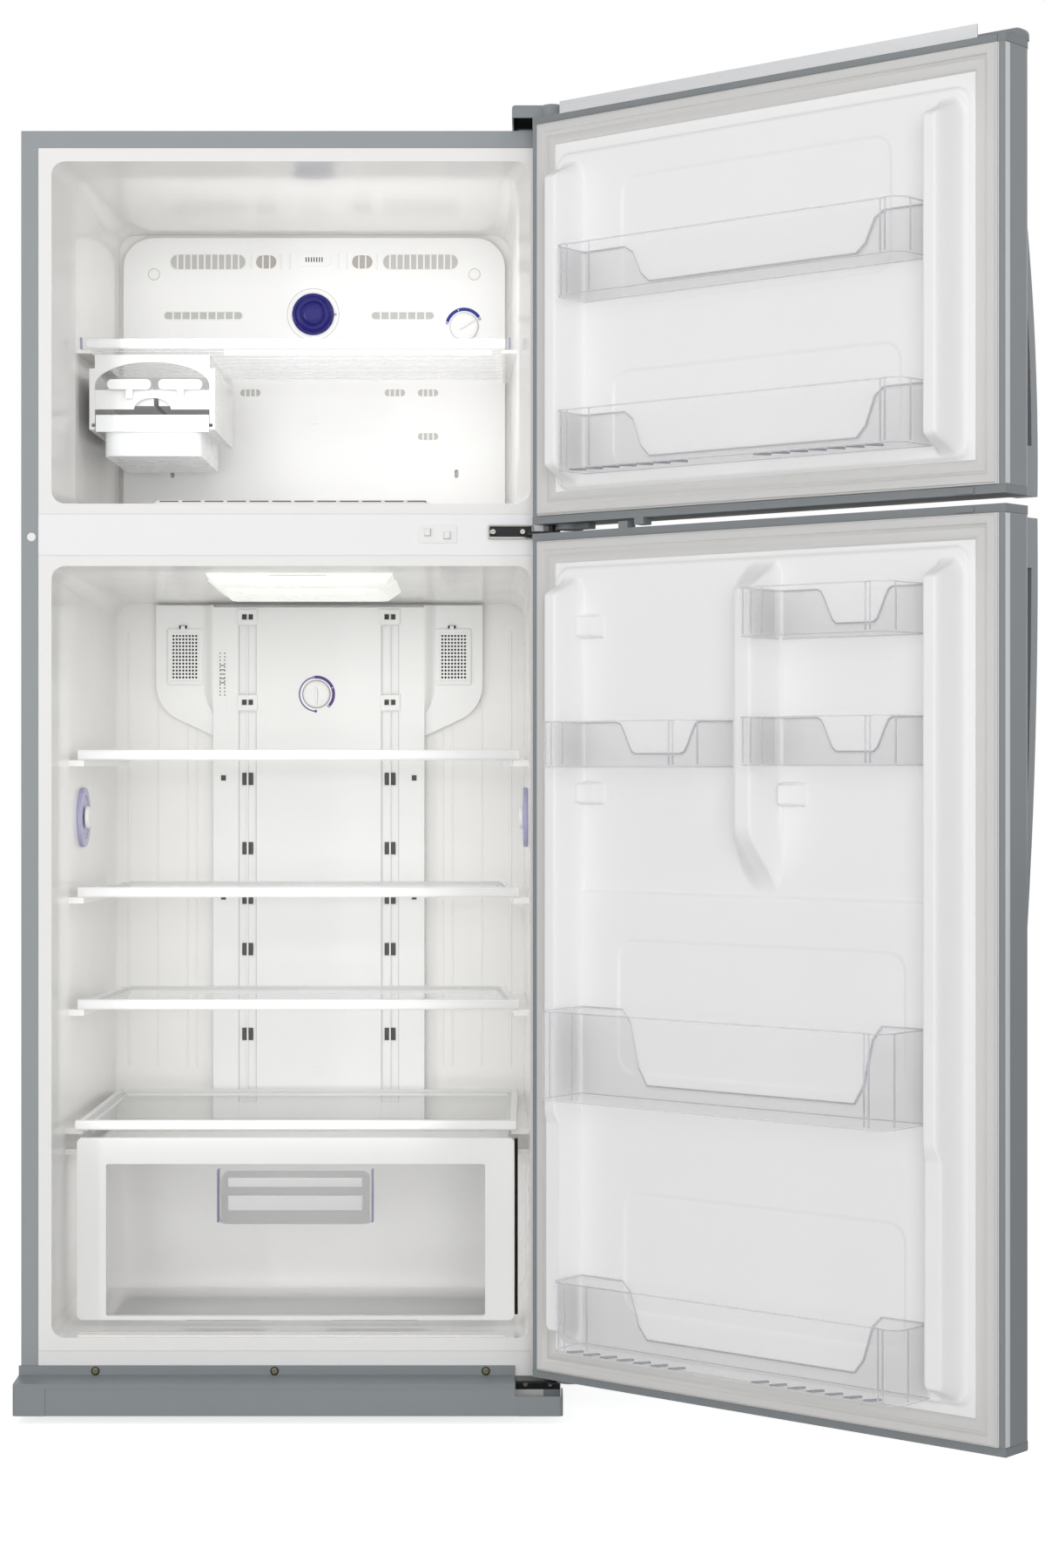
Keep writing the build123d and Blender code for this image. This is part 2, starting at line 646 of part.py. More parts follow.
def make_switch_housing():
    plate = front_panel((SWITCH_X[0] - 5, SWITCH_X[1] + 5), (-2, 0), (SWITCH_Z[0] - 3, SWITCH_Z[1] + 3), 3)
    inner_x = (SWITCH_X[0] + FIT, SWITCH_X[1] - FIT)
    inner_z = (SWITCH_Z[0] + FIT, SWITCH_Z[1] - FIT)
    part = plate + slab(inner_x, (0, SWITCH_D), inner_z)
    for x, z in BUTTONS:
        w, h = BUTTON_W / 2 + FIT, BUTTON_H / 2 + FIT
        part -= slab((x - w, x + w), (-9, 17.5), (z - h, z + h))
    return part


def make_button(x, z):
    w, h = BUTTON_W / 2, BUTTON_H / 2
    body = slab((x - w, x + w), (-BUTTON_OUT, 13), (z - h, z + h))
    tip = body.edges().group_by(Axis.Y)[0]
    return fillet(tip, 1.5)


def cap_plug(x, y, z):
    """Round snap-in plug."""
    return rod_y(x, (y - 1.2, y), z, PLUG_R) + rod_y(x, (y, y + 1.8), z, PLUG_STEM_R)


def make_plugs():
    flange = cap_plug(-PLUG_X, 0, PLUG_Z)
    left = cap_plug(-PANEL_PLUG[0], PANEL_Y, PANEL_PLUG[1])
    right = cap_plug(PANEL_PLUG[0], PANEL_Y, PANEL_PLUG[1])
    low = cap_plug(0, DUCT_Y - DUCT_STEP, TOWER_LOW + 81)
    return Compound(children=[flange, left, right, low])


def louvre(x, z, bars, y):
    """Round ended vent opening with upright bars across it: the cutter and its bars."""
    x = sorted(x)
    cut = front_panel(x, (y - 9, y + 9), z, (z[1] - z[0]) / 2 - 0.1)
    pitch = (x[1] - x[0]) / (bars + 1)
    places = [x[0] + pitch * (i + 1) for i in range(bars)]
    return cut, [slab((p - 1.2, p + 1.2), (y + 0.5, y + PANEL_T), (z[0] - 1, z[1] + 1)) for p in places]


def panel_vents():
    """Vents of the freezer panel: ends across, height span below the panel's top, bars."""
    vents = []
    for side in (-1, 1):
        vents.append(((side * 109, side * 227), (-49.6, -26.6), 10))
        vents.append(((side * 60, side * 92), (-48.6, -27.6), 2))
    vents.append(((-237, -114), (-128.6, -117.6), 8))
    vents.append(((91, 189), (-128.6, -117.6), 6))
    vents.append(((-15, 15), (-39.6, -30.6), 6))
    for x, drop in ((-101, 250.6), (127.5, 250.6), (180, 250.6), (180, 319.6)):
        vents.append(((x - 16, x + 16), (-drop, 11 - drop), 3))
    return vents


def make_freezer_panel():
    half = PANEL_W / 2
    low = FREEZER_Z0 + FLOOR_RISE + FIT
    face = facing(0, PANEL_Y, (low + PANEL_TOP) / 2) * Rectangle(PANEL_W, PANEL_TOP - low)
    face = fillet(face.vertices().sort_by(Axis.Z)[-2:], PANEL_R)
    face = fillet(face.vertices().sort_by(Axis.Z)[:2], 24)
    part = extrude(face, -PANEL_T)
    foot = slab((-half + 60, half - 60), (PANEL_Y, FREEZER_DEPTH - 60), (low, low + PANEL_T))
    boss = front_panel((-27, 27), (PANEL_Y - 2, PANEL_Y), (PANEL_TOP - 45, PANEL_TOP - 25), 9)
    part += boss
    cuts, bars = [], []
    for x, z, count in panel_vents():
        cut, grid = louvre(x, (PANEL_TOP + z[0], PANEL_TOP + z[1]), count, PANEL_Y)
        cuts.append(cut)
        bars += grid
    for x in (-224, 225):
        z = (FREEZER_Z0 + 81, FREEZER_Z0 + 94)
        cuts.append(front_panel((x - 3, x + 3), (PANEL_Y - 9, PANEL_Y + 9), z, 2.9))
    cuts.append(rod_y(DIAL_X, (PANEL_Y - 9, PANEL_Y + 9), DIAL_Z, SHAFT_R + RUN))
    for x in (-PANEL_PLUG[0], PANEL_PLUG[0]):
        cuts.append(rod_y(x, (PANEL_Y - 9, PANEL_Y + 9), PANEL_PLUG[1], PLUG_STEM_R + FIT))
    for cut in cuts:
        part -= cut
    for bar in bars:
        part += bar
    latch = slab((-5, 5), (PANEL_Y - 3, PANEL_Y), (FSHELF_Z - 68, FSHELF_Z - 54))
    return part + foot + latch


def make_dial(x, y, z):
    """Round knob with a raised grip bar, on a short shaft."""
    face = y - FIT
    knob = rod_y(x, (face - 7, face), z, DIAL_R)
    grip = front_panel((x - 3, x + 3), (face - 14, face - 6), (z - DIAL_R + 3, z + DIAL_R - 3), 2.5)
    shaft = rod_y(x, (face, y + 9), z, SHAFT_R)
    return knob + grip + shaft


def make_outlet_cap():
    x, z = -1.7, PANEL_TOP - 121.1
    ring = rod_y(x, (PANEL_Y - 6, PANEL_Y), z, 33)
    dish = rod_y(x, (PANEL_Y - 7, PANEL_Y - 3.5), z, 27)
    return ring - dish + rod_y(x, (PANEL_Y - 9, PANEL_Y - 3.5), z, 19)


def make_freezer_shelf():
    plan = shelf_plan(FSHELF_FRONT_W, FSHELF_BACK_W, FSHELF_Y0, FSHELF_Y1, 0)
    plate = plan_profile(plan, (FSHELF_Z, FSHELF_Z + 4))
    half = FSHELF_FRONT_W / 2
    nose = slab((-half, half), (FSHELF_Y0 - 4, FSHELF_Y0 + 8), (FSHELF_Z - 2, FSHELF_Z + FSHELF_NOSE - 2))
    nose = fillet(nose.edges().filter_by(Axis.X).sort_by(Axis.Y)[:2], 3.5)
    part = plate + nose
    for x in (ICE_X0 + 10, ICE_X1 - 10):
        part += slab((x - 3, x + 3), (ICE_Y0, ICE_Y1), (ICE_TOP + FIT, FSHELF_Z))
    rib_x = (ICE_X1 + 20, FSHELF_BACK_W / 2 - 13)
    for i in range(5):
        y = FSHELF_Y0 + 46 + i * (FSHELF_Y1 - FSHELF_Y0 - 81) / 4
        part += slab(rib_x, (y - 1.5, y + 1.5), (FSHELF_Z - 7, FSHELF_Z))
    return part


def make_ice_frame():
    mid_x = (ICE_X0 + ICE_X1) / 2
    front = slab((ICE_X0, ICE_X1), (ICE_Y0, ICE_Y0 + 6), (ICE_LOW, ICE_TOP))
    window_x = (ICE_X0 + ICE_WALL + 1, ICE_X1 - ICE_WALL - 1)
    spring = TRAY_Z + 14
    window = slab(window_x, (ICE_Y0 - 9, ICE_Y0 + 9), (ICE_LOW - 9, spring))
    arch = facing(mid_x, ICE_Y0 - 9, spring) * Ellipse((window_x[1] - window_x[0]) / 2, 35)
    slide = slab((ICE_X0 + 3.4, ICE_X1 - 3.4), (ICE_Y0 - 9, ICE_Y0 + 9), (ICE_LOW + 4, ICE_LOW + 9))
    front = front - window - extrude(arch, -18) - slide
    for x in ((ICE_X0 - 1, ICE_X0 + 8), (ICE_X1 - 8, ICE_X1 + 1)):
        front -= slab(x, (ICE_Y0 - 9, ICE_Y0 + 9), (ICE_TOP - 20, ICE_TOP + 1))
    hang = ICE_TOP - 20
    side = slab((ICE_X0, ICE_X0 + ICE_WALL - 4), (ICE_Y0, ICE_Y1), (ICE_LOW, hang))
    side += slab((ICE_X0, ICE_X0 + ICE_WALL), (ICE_Y0, ICE_Y1), (ICE_LOW, ICE_LOW + 4))
    other = slab((ICE_X1 - ICE_WALL + 4, ICE_X1), (ICE_Y0, ICE_Y1), (ICE_LOW, hang))
    other += slab((ICE_X1 - ICE_WALL, ICE_X1), (ICE_Y0, ICE_Y1), (ICE_LOW, ICE_LOW + 4))
    back = slab((ICE_X0, ICE_X1), (ICE_Y1 - 3, ICE_Y1), (ICE_LOW + 30, ICE_TOP))
    carrier = slab((ICE_X0 + 3, ICE_X1 - 3), (ICE_Y0 + 3, ICE_Y0 + 6), (TRAY_Z - 20, TRAY_Z + 8.5))
    notch = facing(mid_x, ICE_Y0, TRAY_Z - 20) * Ellipse(27, 17)
    carrier -= extrude(notch, -9)
    part = front + side + other + back + carrier
    for x in TRAY_X:
        part -= rod_y(x, (ICE_Y0 - 9, ICE_Y0 + 9), TRAY_Z, TRUNNION_R + RUN)
        part -= rod_y(x, (ICE_Y1 - 9, ICE_Y1 + 9), TRAY_Z, TRUNNION_R + RUN)
    return part


def make_ice_tray(x):
    """Twist tray with ice wells, a lever at the front and a trunnion at each end."""
    y0, y1 = ICE_Y0 + 12, ICE_Y1 - 10
    w = TRAY_HALF
    part = slab((x - w, x + w), (y0, y1), (TRAY_Z - 14, TRAY_Z + 12))
    pitch = (y1 - y0 - 4) / 5
    for i in range(5):
        for j in (-1, 1):
            cx = x + j * (w / 2 - 0.5)
            cy = y0 + 2 + (i + 0.5) * pitch
            well = Pos(cx, cy, TRAY_Z) * Box(w - 4, pitch - 4, 24.2)
            part -= well
    part += rod_y(x, (y1, ICE_Y1), TRAY_Z, TRUNNION_R)
    lever = front_panel((x + 2 - w, x + w - 2), (ICE_Y0 - 8, ICE_Y0 - 2), (TRAY_Z + 8, TRAY_Z + 23), 7)
    lever += slab((x - 5, x + 5), (ICE_Y0 - 6, ICE_Y0 - 2), (TRAY_Z - 5, TRAY_Z + 10))
    lever += rod_y(x, (ICE_Y0 - 4, y0), TRAY_Z, TRUNNION_R)
    return Compound(children=[part, lever])


def make_ice_bin():
    x = (ICE_X0 + 21, ICE_X1 - 21)
    y = (ICE_Y0 + 9, ICE_Y1 - 5)
    outer = top_panel(x, y, (BIN_LOW, ICE_LOW + 10), 14)
    inner = top_panel((x[0] + 2, x[1] - 2), (y[0] + 2, y[1] - 2), (BIN_LOW + 2, ICE_LOW + 30), 12)
    rest = ICE_LOW + 4 + FIT
    for side in ((x[0] - 17, x[0] + 1), (x[1] - 1, x[1] + 17)):
        outer += slab(side, (y[0] + 14, y[1] - 14), (rest, rest + 2.5))
    lip = slab((ICE_X0 + 9, ICE_X1 - 9), (ICE_Y0 + 1, ICE_Y0 + 5), (ICE_LOW - 3, ICE_LOW + 22))
    neck = slab((x[0] + 14, x[1] - 14), (ICE_Y0 + 4, y[0] + 1), (ICE_LOW + 1, ICE_LOW + 4))
    return outer - inner + lip + neck


def make_duct():
    half, tower = DUCT_W / 2, TOWER_W / 2
    points = [(-half, DUCT_TOP), (half, DUCT_TOP), (half, DUCT_WING_LOW), (tower, TOWER_TOP),
              (tower, TOWER_LOW), (-tower, TOWER_LOW), (-tower, TOWER_TOP), (-half, DUCT_WING_LOW)]
    outline = make_face(Polyline(*points, close=True))
    corners = [v for v in outline.vertices() if abs(v.Y - DUCT_WING_LOW) < 1]
    outline = fillet(corners, DUCT_WING_R)
    wings = extrude(facing(0, DUCT_Y, 0) * outline, -(FRIDGE_DEPTH - FIT - DUCT_Y))
    raised = slab((-tower, tower), (DUCT_Y - DUCT_STEP, DUCT_Y + 1), (TOWER_LOW, DUCT_TOP - 4))
    part = wings + raised
    front = DUCT_Y - DUCT_STEP
    for side in (-1, 1):
        x = sorted((side * CHANNEL_X[0], side * CHANNEL_X[1]))
        part -= slab(x, (front - 1, front + 4), (TOWER_LOW + 30, DUCT_TOP - 8))
        for drop in SLOT_DROPS:
            z = DUCT_TOP - drop
            part -= slab((x[0] + 5, x[1] - 5), (front - 1, front + 10), (z, z + 14))
        for drop in BRACKET_DROPS:
            z = DUCT_TOP - drop
            part += slab((x[0] - 1, x[1] + 1), (front - 3, front + 6), (z, z + 24))
            part -= slab((x[0] + 5, x[1] - 5), (front - 4, front + 4), (z + 8, z + 17))
        square = side * 154
        for drop in SLOT_DROPS[:4:2]:
            z = DUCT_TOP - drop + 4
            part -= slab((square - 4, square + 4), (front - 1, front + 5), (z, z + 9))
    part -= rod_y(FRIDGE_DIAL_X, (front - 9, front + 12), FRIDGE_DIAL_Z, SHAFT_R + RUN)
    part -= rod_y(0, (front - 9, front + 3), TOWER_LOW + 81, PLUG_STEM_R + FIT)
    return part


def make_filter_covers():
    x, z = (188.0, 247.0), (DUCT_TOP - 130, DUCT_TOP - 37)
    cover = front_panel(x, (DUCT_Y - 4, DUCT_Y), z, 6)
    cover -= front_panel((x[0] + 8, x[1] - 12), (DUCT_Y - 5, DUCT_Y - 2), (z[0] + 10, z[1] - 10), 2)
    tab = slab((x[0] + 18, x[0] + 38), (DUCT_Y - 5, DUCT_Y), (z[1] - 1, z[1] + 5))
    return both_sides(cover + tab)


def lamp_tilt(part):
    """Turn a level piece to lie along the sloping fridge ceiling."""
    slope = math.degrees(math.atan2(FRIDGE_ROOF_DROP, FRIDGE_DEPTH - FIT))
    return part.rotate(Axis((0, FIT, FRIDGE_Z1), (1, 0, 0)), -slope)


def make_lamp_cover():
    z = FRIDGE_Z1 - SNUG

    def body(shrink, low):
        y = FRIDGE_DEPTH / 2 + 5
        top = Plane((0, y, z)) * RectangleRounded(282 - shrink, 206 - shrink, 14)
        bottom = Plane((0, y + 6, z - low)) * RectangleRounded(242 - shrink, 180 - shrink, 12)
        return loft([bottom, top], ruled=True)

    return lamp_tilt(body(0, 14) - Pos(0, 0, 3) * body(5, 14))


def make_lamp():
    z = FRIDGE_Z1 - SNUG
    y = FRIDGE_DEPTH / 2 + 5
    board = slab((-95, 95), (y - 38, y + 38), (z - 3, z - 0.2))
    for i in range(3):
        x = -60 + i * 60
        board += slab((x - 16, x + 16), (y - 20, y + 20), (z - 7, z - 2.9))
    return lamp_tilt(board)


def make_side_discs():
    y, z = 258.0, SHELF_Z[2] - 86.5
    lean = math.degrees(math.atan2(FRIDGE_SIDE_DRAFT, FRIDGE_DEPTH))
    x = liner_wall(y, "fridge") - SNUG
    disc = Pos(x - 3, y, z) * Rot(0, 0, lean) * Rot(0, 90, 0) * Cylinder(45, 6)
    ring = Pos(x - 6, y, z) * Rot(0, 0, lean) * Rot(0, 90, 0) * Cylinder(33, 3)
    return both_sides(disc - ring)


def frame_for(front_w, back_w, y0, y1, z, nose_h):
    """Shelf frame with a ledge for its pane and a raised nose along its front edge."""
    part = plan_profile(shelf_plan(front_w, back_w, y0, y1, 0), (z, z + SHELF_T))
    part -= plan_profile(shelf_plan(front_w, back_w, y0, y1, 16), (z - 1, z + SHELF_T + 1))
    part -= plan_profile(shelf_plan(front_w, back_w, y0, y1, 9), (z + SHELF_T - GLASS_T, z + 30))
    half = front_w / 2
    nose = slab((-half, half), (y0 - 4, y0 + 9), (z, z + nose_h))
    nose = fillet(nose.edges().filter_by(Axis.X).sort_by(Axis.Y)[:2], 3.5)
    return part + nose


def pane_for(front_w, back_w, y0, y1, z):
    """Pane that drops into a shelf frame."""
    plan = shelf_plan(front_w, back_w, y0, y1, 9 + FIT)
    return plan_profile(plan, (z + SHELF_T - GLASS_T, z + SHELF_T))


def make_shelf_frames():
    frames = [frame_for(SHELF_FRONT_W, SHELF_BACK_W, SHELF_Y0, SHELF_Y1, z, SHELF_NOSE) for z in SHELF_Z]
    return Compound(children=frames)


def make_shelf_glass():
    panes = [pane_for(SHELF_FRONT_W, SHELF_BACK_W, SHELF_Y0, SHELF_Y1, z) for z in SHELF_Z]
    return Compound(children=panes)


def make_crisper_tub():
    x, y, z = TUB_W / 2, (CRISPER_Y0 + CRISPER_FRONT_T, TUB_BACK), (CRISPER_Z0 + 2, CRISPER_Z1 - 6)

    def body(grow, low, high):
        bottom = Plane((0, (y[0] + y[1] - 8) / 2, low)) * RectangleRounded(
            2 * x - 24 + 2 * grow, y[1] - y[0] - 8 + 2 * grow, 20)
        top = Plane((0, (y[0] + y[1]) / 2, high)) * RectangleRounded(
            2 * x + 2 * grow, y[1] - y[0] + 2 * grow, 20)
        return loft([bottom, top], ruled=True)

    hollow = body(-TUB_T, z[0] + TUB_T, z[1] + 1)
    runner = slab((x - 2, x + 24), (y[0] + 16, STEP_Y - 14), (RUNNER_Z + FIT, RUNNER_Z + FIT + 4))
    return body(0, z[0], z[1]) + both_sides(runner) + crisper_pull() - hollow


def crisper_pull():
    """Hollow pull in the middle of the drawer's clear front, open from below."""
    y, z = CRISPER_Y0 - 9, (CRISPER_Z1 - 124, CRISPER_Z1 - 44)
    grip = front_panel((-113, 113), (y, CRISPER_Y0 + CRISPER_FRONT_T + 8), z, 12)
    scoop = front_panel((-108, 108), (y + 2.5, CRISPER_Y0 + CRISPER_FRONT_T), (z[0] - 20, z[1] - 5), 12)
    return grip - scoop


def make_crisper_front():
    """White frame on the drawer's front, open round the clear tub and its pull."""
    half = CRISPER_W / 2
    y = (CRISPER_Y0, CRISPER_Y0 + CRISPER_FRONT_T - FIT)
    plate = front_panel((-half, half), y, (CRISPER_Z0, CRISPER_Z1), 8)
    opening = (CRISPER_Z0 + 6, CRISPER_Z1 - 38)
    return plate - front_panel((42.5 - half, half - 42.5), (y[0] - 1, y[1] + 1), opening, 3)


def door_plan(inset, back):
    """Plan of a door: square corners at the back, rounded corners at the front."""
    front = DOOR_FRONT + inset
    plan = Pos(0, (front + back) / 2) * Rectangle(DOOR_W - 2 * inset, back - front)
    return fillet(plan.vertices().sort_by(Axis.Y)[:2], DOOR_R - inset)


def door_slice(inset, back, z):
    """Door shaped block between two heights."""
    return extrude(Plane((0, 0, z[0])) * door_plan(inset, back), z[1] - z[0])


def make_skin(door):
    z = (door[0] + CAP_H, door[1] - CAP_H)
    outer = door_slice(0, DOOR_BACK, z)
    inner = door_slice(DOOR_SKIN, DOOR_BACK - DOOR_SKIN, z)
    half = DOOR_W / 2 - DOOR_MARGIN + 1
    return outer - inner - slab((-half, half), (DOOR_BACK - 2, DOOR_BACK + 1), z)


def ramp(foot, ridge, foot_z, ridge_z, y, grow):
    """Upright that stands out of a door liner and slopes down at both of its ends."""
    low = (foot_z[0] + foot_z[1]) / 2
    high = (ridge_z[0] + ridge_z[1]) / 2
    foot_w = foot[1] - foot[0] + 2 * grow
    foot_h = foot_z[1] - foot_z[0] + 2 * grow
    ridge_w = ridge[1] - ridge[0] + 2 * grow
    ridge_h = ridge_z[1] - ridge_z[0] + 2 * grow
    base = facing((foot[0] + foot[1]) / 2, -3, low) * RectangleRounded(foot_w, foot_h, 14)
    place = facing((ridge[0] + ridge[1]) / 2, y + grow, high)
    return loft([base, place * RectangleRounded(ridge_w, ridge_h, ridge_w * 0.45)], ruled=True)


def plug(open_z, lower_field, grow):
    """Raised field of a door liner, with a tall dyke down each side."""
    z0, z1 = open_z[0] + PLUG_GAP_Z, open_z[1] - PLUG_GAP
    half = OPEN_W / 2
    foot_y = DOOR_BACK - 1 if grow == 0 else DOOR_BACK - SHELL - 1
    low = section(foot_y, half - 2, z0 - 1, z1 + 1, 24, grow)
    high = section(0 + grow, half - PLUG_GAP, z0 + 2, z1 - 2, 22, grow)
    part = loft([low, high], ruled=True)
    z = (z0 + 6, z1 - 6)
    ridge_z = (z[0] + DYKE_LOW_SLOPE, z[1] - DYKE_TOP_SLOPE)
    foot, ridge = (DYKE_IN, DYKE_OUT), (RIDGE_IN, RIDGE_OUT)
    part += both_sides(ramp(foot, ridge, z, ridge_z, DYKE_OUT_Y, grow))
    if lower_field:
        y, top = LOW_DYKE_Y + grow, LOW_DYKE_Z
        low = [(y, 0), (y, top), (DYKE_OUT_Y + grow, top + 8), (RIB_Y, top + 8), (RIB_Y, 0)]
        part -= side_profile(low, (-HALF_OPEN, HALF_OPEN))
        part += ramp(RIB_FOOT, RIB_RIDGE, (RIB_LOW, z[1]), RIB_RIDGE_Z, RIB_Y, grow)
        x = (-RIDGE_IN - grow, RIDGE_IN + grow)
        part += front_panel(x, (-3, FIELD_Y + grow), (z[0] - grow, FIELD_TOP + grow), 12)
    return part


def make_door_liner(door, open_z, lower_field):
    z = (door[0] + CAP_H + FIT, door[1] - CAP_H - FIT)
    half = DOOR_W / 2 - DOOR_MARGIN + 1 - FIT
    sheet = slab((-half, half), (DOOR_BACK - SHELL, DOOR_BACK), z)
    return sheet + plug(open_z, lower_field, 0) - plug(open_z, lower_field, -SHELL)


def make_door_foam(door, open_z, lower_field):
    z = (door[0] + CAP_H + FIT, door[1] - CAP_H - FIT)
    block = door_slice(DOOR_SKIN + SNUG, DOOR_BACK - SHELL - SNUG, z)
    return block + plug(open_z, lower_field, -SHELL - SNUG)


def make_gasket(door):
    half = DOOR_W / 2 - DOOR_MARGIN
    z = (door[0] + CAP_H + FIT, door[1] - CAP_H - FIT)

    def ring(outer, width, depth):
        x = half - outer
        frame = slab((-x, x), (DOOR_BACK, DOOR_BACK + depth), (z[0] + outer, z[1] - outer))
        x -= width
        inner_z = (z[0] + outer + width, z[1] - outer - width)
        return frame - slab((-x, x), (DOOR_BACK - 1, DOOR_BACK + depth + 1), inner_z)

    return ring(0, GASKET_W, GASKET_LIP) + ring(0, GASKET_BULB, GASKET_OUT)


def cap_slice(z):
    """End cap, which stands a little proud of the door's skin."""
    return door_slice(-CAP_PROUD, DOOR_BACK, z)


def pin_seat(z, way):
    """Blind hole for a hinge pin, into a cap from its outer face."""
    return rod_z(PIN_X, PIN_Y, sorted((z - way, z + way * PIN_SEAT)), PIN_R + RUN)


def closer(z):
    """Half round closing cam under a door, beside the hinge pin."""
    x, y = PIN_X - 26, PIN_Y - 8
    disc = rod_z(x, y, z, CLOSER_R)
    return disc + slab((x - 40, x), (y - 8, y + 8), z)


def make_freezer_caps():
    low, high = FREEZER_DOOR
    bottom = cap_slice((low, low + CAP_H - SNUG)) - pin_seat(low, 1)
    lug_x = BUTTONS[0][0]
    lug = slab((lug_x - 8, lug_x + 8), (-26, DOOR_BACK), (low - 9.5, low))
    bottom += slab((HANDLE_X + 7, HANDLE_X + 33), (DOOR_BACK - 4, DOOR_BACK + 2), (low + 1, low + 9))
    cam = closer((low - 7.5, low))
    top = cap_slice((high - CAP_H + SNUG, high)) - pin_seat(high, -1)
    crown_x = (-DOOR_W / 2 - CAP_PROUD, PIN_X - 25)
    crown = slab(crown_x, (DOOR_FRONT - CAP_PROUD, DOOR_FRONT + CROWN_D), (high - 1, high + CROWN_H))
    crown = fillet(crown.edges().filter_by(Axis.X).group_by(Axis.Z)[-1], 7)
    corner = crown.edges().filter_by(Axis.Z).sort_by(lambda e: e.center().X + e.center().Y)[:1]
    crown = fillet(corner, 12)
    return Compound(children=[bottom, cam, lug, top + crown])


def make_fridge_caps():
    low, high = FRIDGE_DOOR
    bottom = cap_slice((low, low + CAP_H - SNUG)) - pin_seat(low, 1)
    cam = closer((low - 7.5, low))
    top = cap_slice((high - CAP_H + SNUG, high)) - pin_seat(high, -1)
    lug_x = BUTTONS[1][0]
    lug = slab((lug_x - 8, lug_x + 8), (-26, DOOR_BACK), (high, high + 9.5))
    top += slab((HANDLE_X + 7, HANDLE_X + 33), (DOOR_BACK - 4, DOOR_BACK + 2), (high - 9, high - 1))
    return Compound(children=[bottom, cam, lug, top])


def make_handle(z_foot, length, up):
    """Bowed bar that leaves the door at one end and stands on a block foot at the other."""
    y = DOOR_FRONT
    far = z_foot + up * length
    shoulder = z_foot + up * HANDLE_FOOT
    bow, middle = y - HANDLE_OUT * 0.82, z_foot + up * length * 0.5
    outer = ThreePointArc((y - HANDLE_OUT, z_foot), (bow, middle), (y - 3, far))
    inner = ThreePointArc(
        (y - 0.5, far - up * 60), (bow + HANDLE_T, middle), (y - HANDLE_OUT + HANDLE_T, shoulder)
    )
    edge = outer + Line((y - 3, far), (y, far)) + Line((y, far), (y, far - up * 60))
    edge += Line((y, far - up * 60), (y - 0.5, far - up * 60)) + inner
    edge += Line((y - HANDLE_OUT + HANDLE_T, shoulder), (y, shoulder)) + Line((y, shoulder), (y, z_foot))
    edge += Line((y, z_foot), (y - HANDLE_OUT, z_foot))
    place = Plane(origin=(HANDLE_X - HANDLE_W / 2, 0, 0), x_dir=(0, 1, 0), z_dir=(1, 0, 0))
    bar = extrude(place * make_face(edge), HANDLE_W)
    rebate = sorted((z_foot - up * 9, z_foot + up * (CAP_H - CAP_INSET)))
    return bar - slab((HANDLE_X - HANDLE_W, HANDLE_X + HANDLE_W), (y - CAP_PROUD - FIT, y + 1), rebate)


def bin_dip(x, z, y):
    """Cutter for a bin's back wall, low in the middle with an S curve at each end."""
    low, top = z[0] + 20, z[1] + 5
    side = min(76, (x[1] - x[0]) * 0.25)
    left, right = x[0] + side, x[1] - side
    middle = (low + z[1]) / 2
    fall, rise = ((1, -0.3), (1, -0.3)), ((1, 0.3), (1, 0.3))
    edge = Spline((left, z[1]), (left + 17, middle), (left + 34, low), tangents=fall)
    edge += Line((left + 34, low), (right - 34, low))
    edge += Spline((right - 34, low), (right - 17, middle), (right, z[1]), tangents=rise)
    edge += Polyline((right, z[1]), (right, top), (left, top), (left, z[1]))
    return extrude(facing(0, y - 2, 0) * make_face(edge), -BIN_T - 4)


def door_bin(x, z, y, slotted=False):
    """Open tray with rounded front corners and a back wall that dips in the middle."""
    outer = slab(x, y, z)
    outer = fillet(outer.edges().filter_by(Axis.Z).sort_by(Axis.Y)[-2:], BIN_R)
    inner = slab((x[0] + BIN_T, x[1] - BIN_T), (y[0] + BIN_T, y[1] - BIN_T), (z[0] + BIN_T, z[1] + 5))
    inner = fillet(inner.edges().filter_by(Axis.Z).sort_by(Axis.Y)[-2:], BIN_R - BIN_T)
    part = outer - inner - bin_dip(x, z, y[0])
    if slotted:
        for side in (-1, 1):
            for i in range(7):
                cx = side * (75 + i * 24)
                part -= slab((cx - 2, cx + 2), (y[1] - 28, y[1] - 12), (z[0] - 1, z[0] + BIN_T + 1))
    return part


def make_freezer_bins():
    y = (FIT, FREEZER_BIN_OUT)
    upper = door_bin((-BIN_X, BIN_X), (FREEZER_Z0 + 267, FREEZER_Z0 + 338), y)
    lower = door_bin((-BIN_X, BIN_X), (FREEZER_Z0 + 29, FREEZER_Z0 + 112), y, slotted=True)
    return Compound(children=[upper, lower])


def make_small_bins():
    y = (FIT, SMALL_BIN_OUT)
    right = (-BIN_X, RIB_FOOT[0] - 1)
    left = (RIB_FOOT[1] + 1, BIN_X)
    top, low = FRIDGE_Z1 - 120, FRIDGE_Z1 - 286
    places = [(right, (top, top + 65)), (right, (low, low + 64)), (left, (low - 2, low + 61))]
    return Compound(children=[door_bin(x, z, y) for x, z in places])


def make_wide_bins():
    back = FIELD_Y + FIT
    middle = (FRIDGE_Z0 + 361.5, FRIDGE_Z0 + 483.5)
    bottle = (FRIDGE_Z0 + 15.5, FRIDGE_Z0 + 111.5)
    wide = door_bin((-BIN_X, BIN_X), middle, (back, WIDE_BIN_OUT))
    low = door_bin((-BIN_X, BIN_X), bottle, (back, BOTTLE_BIN_OUT), slotted=True)
    return Compound(children=[wide, low])


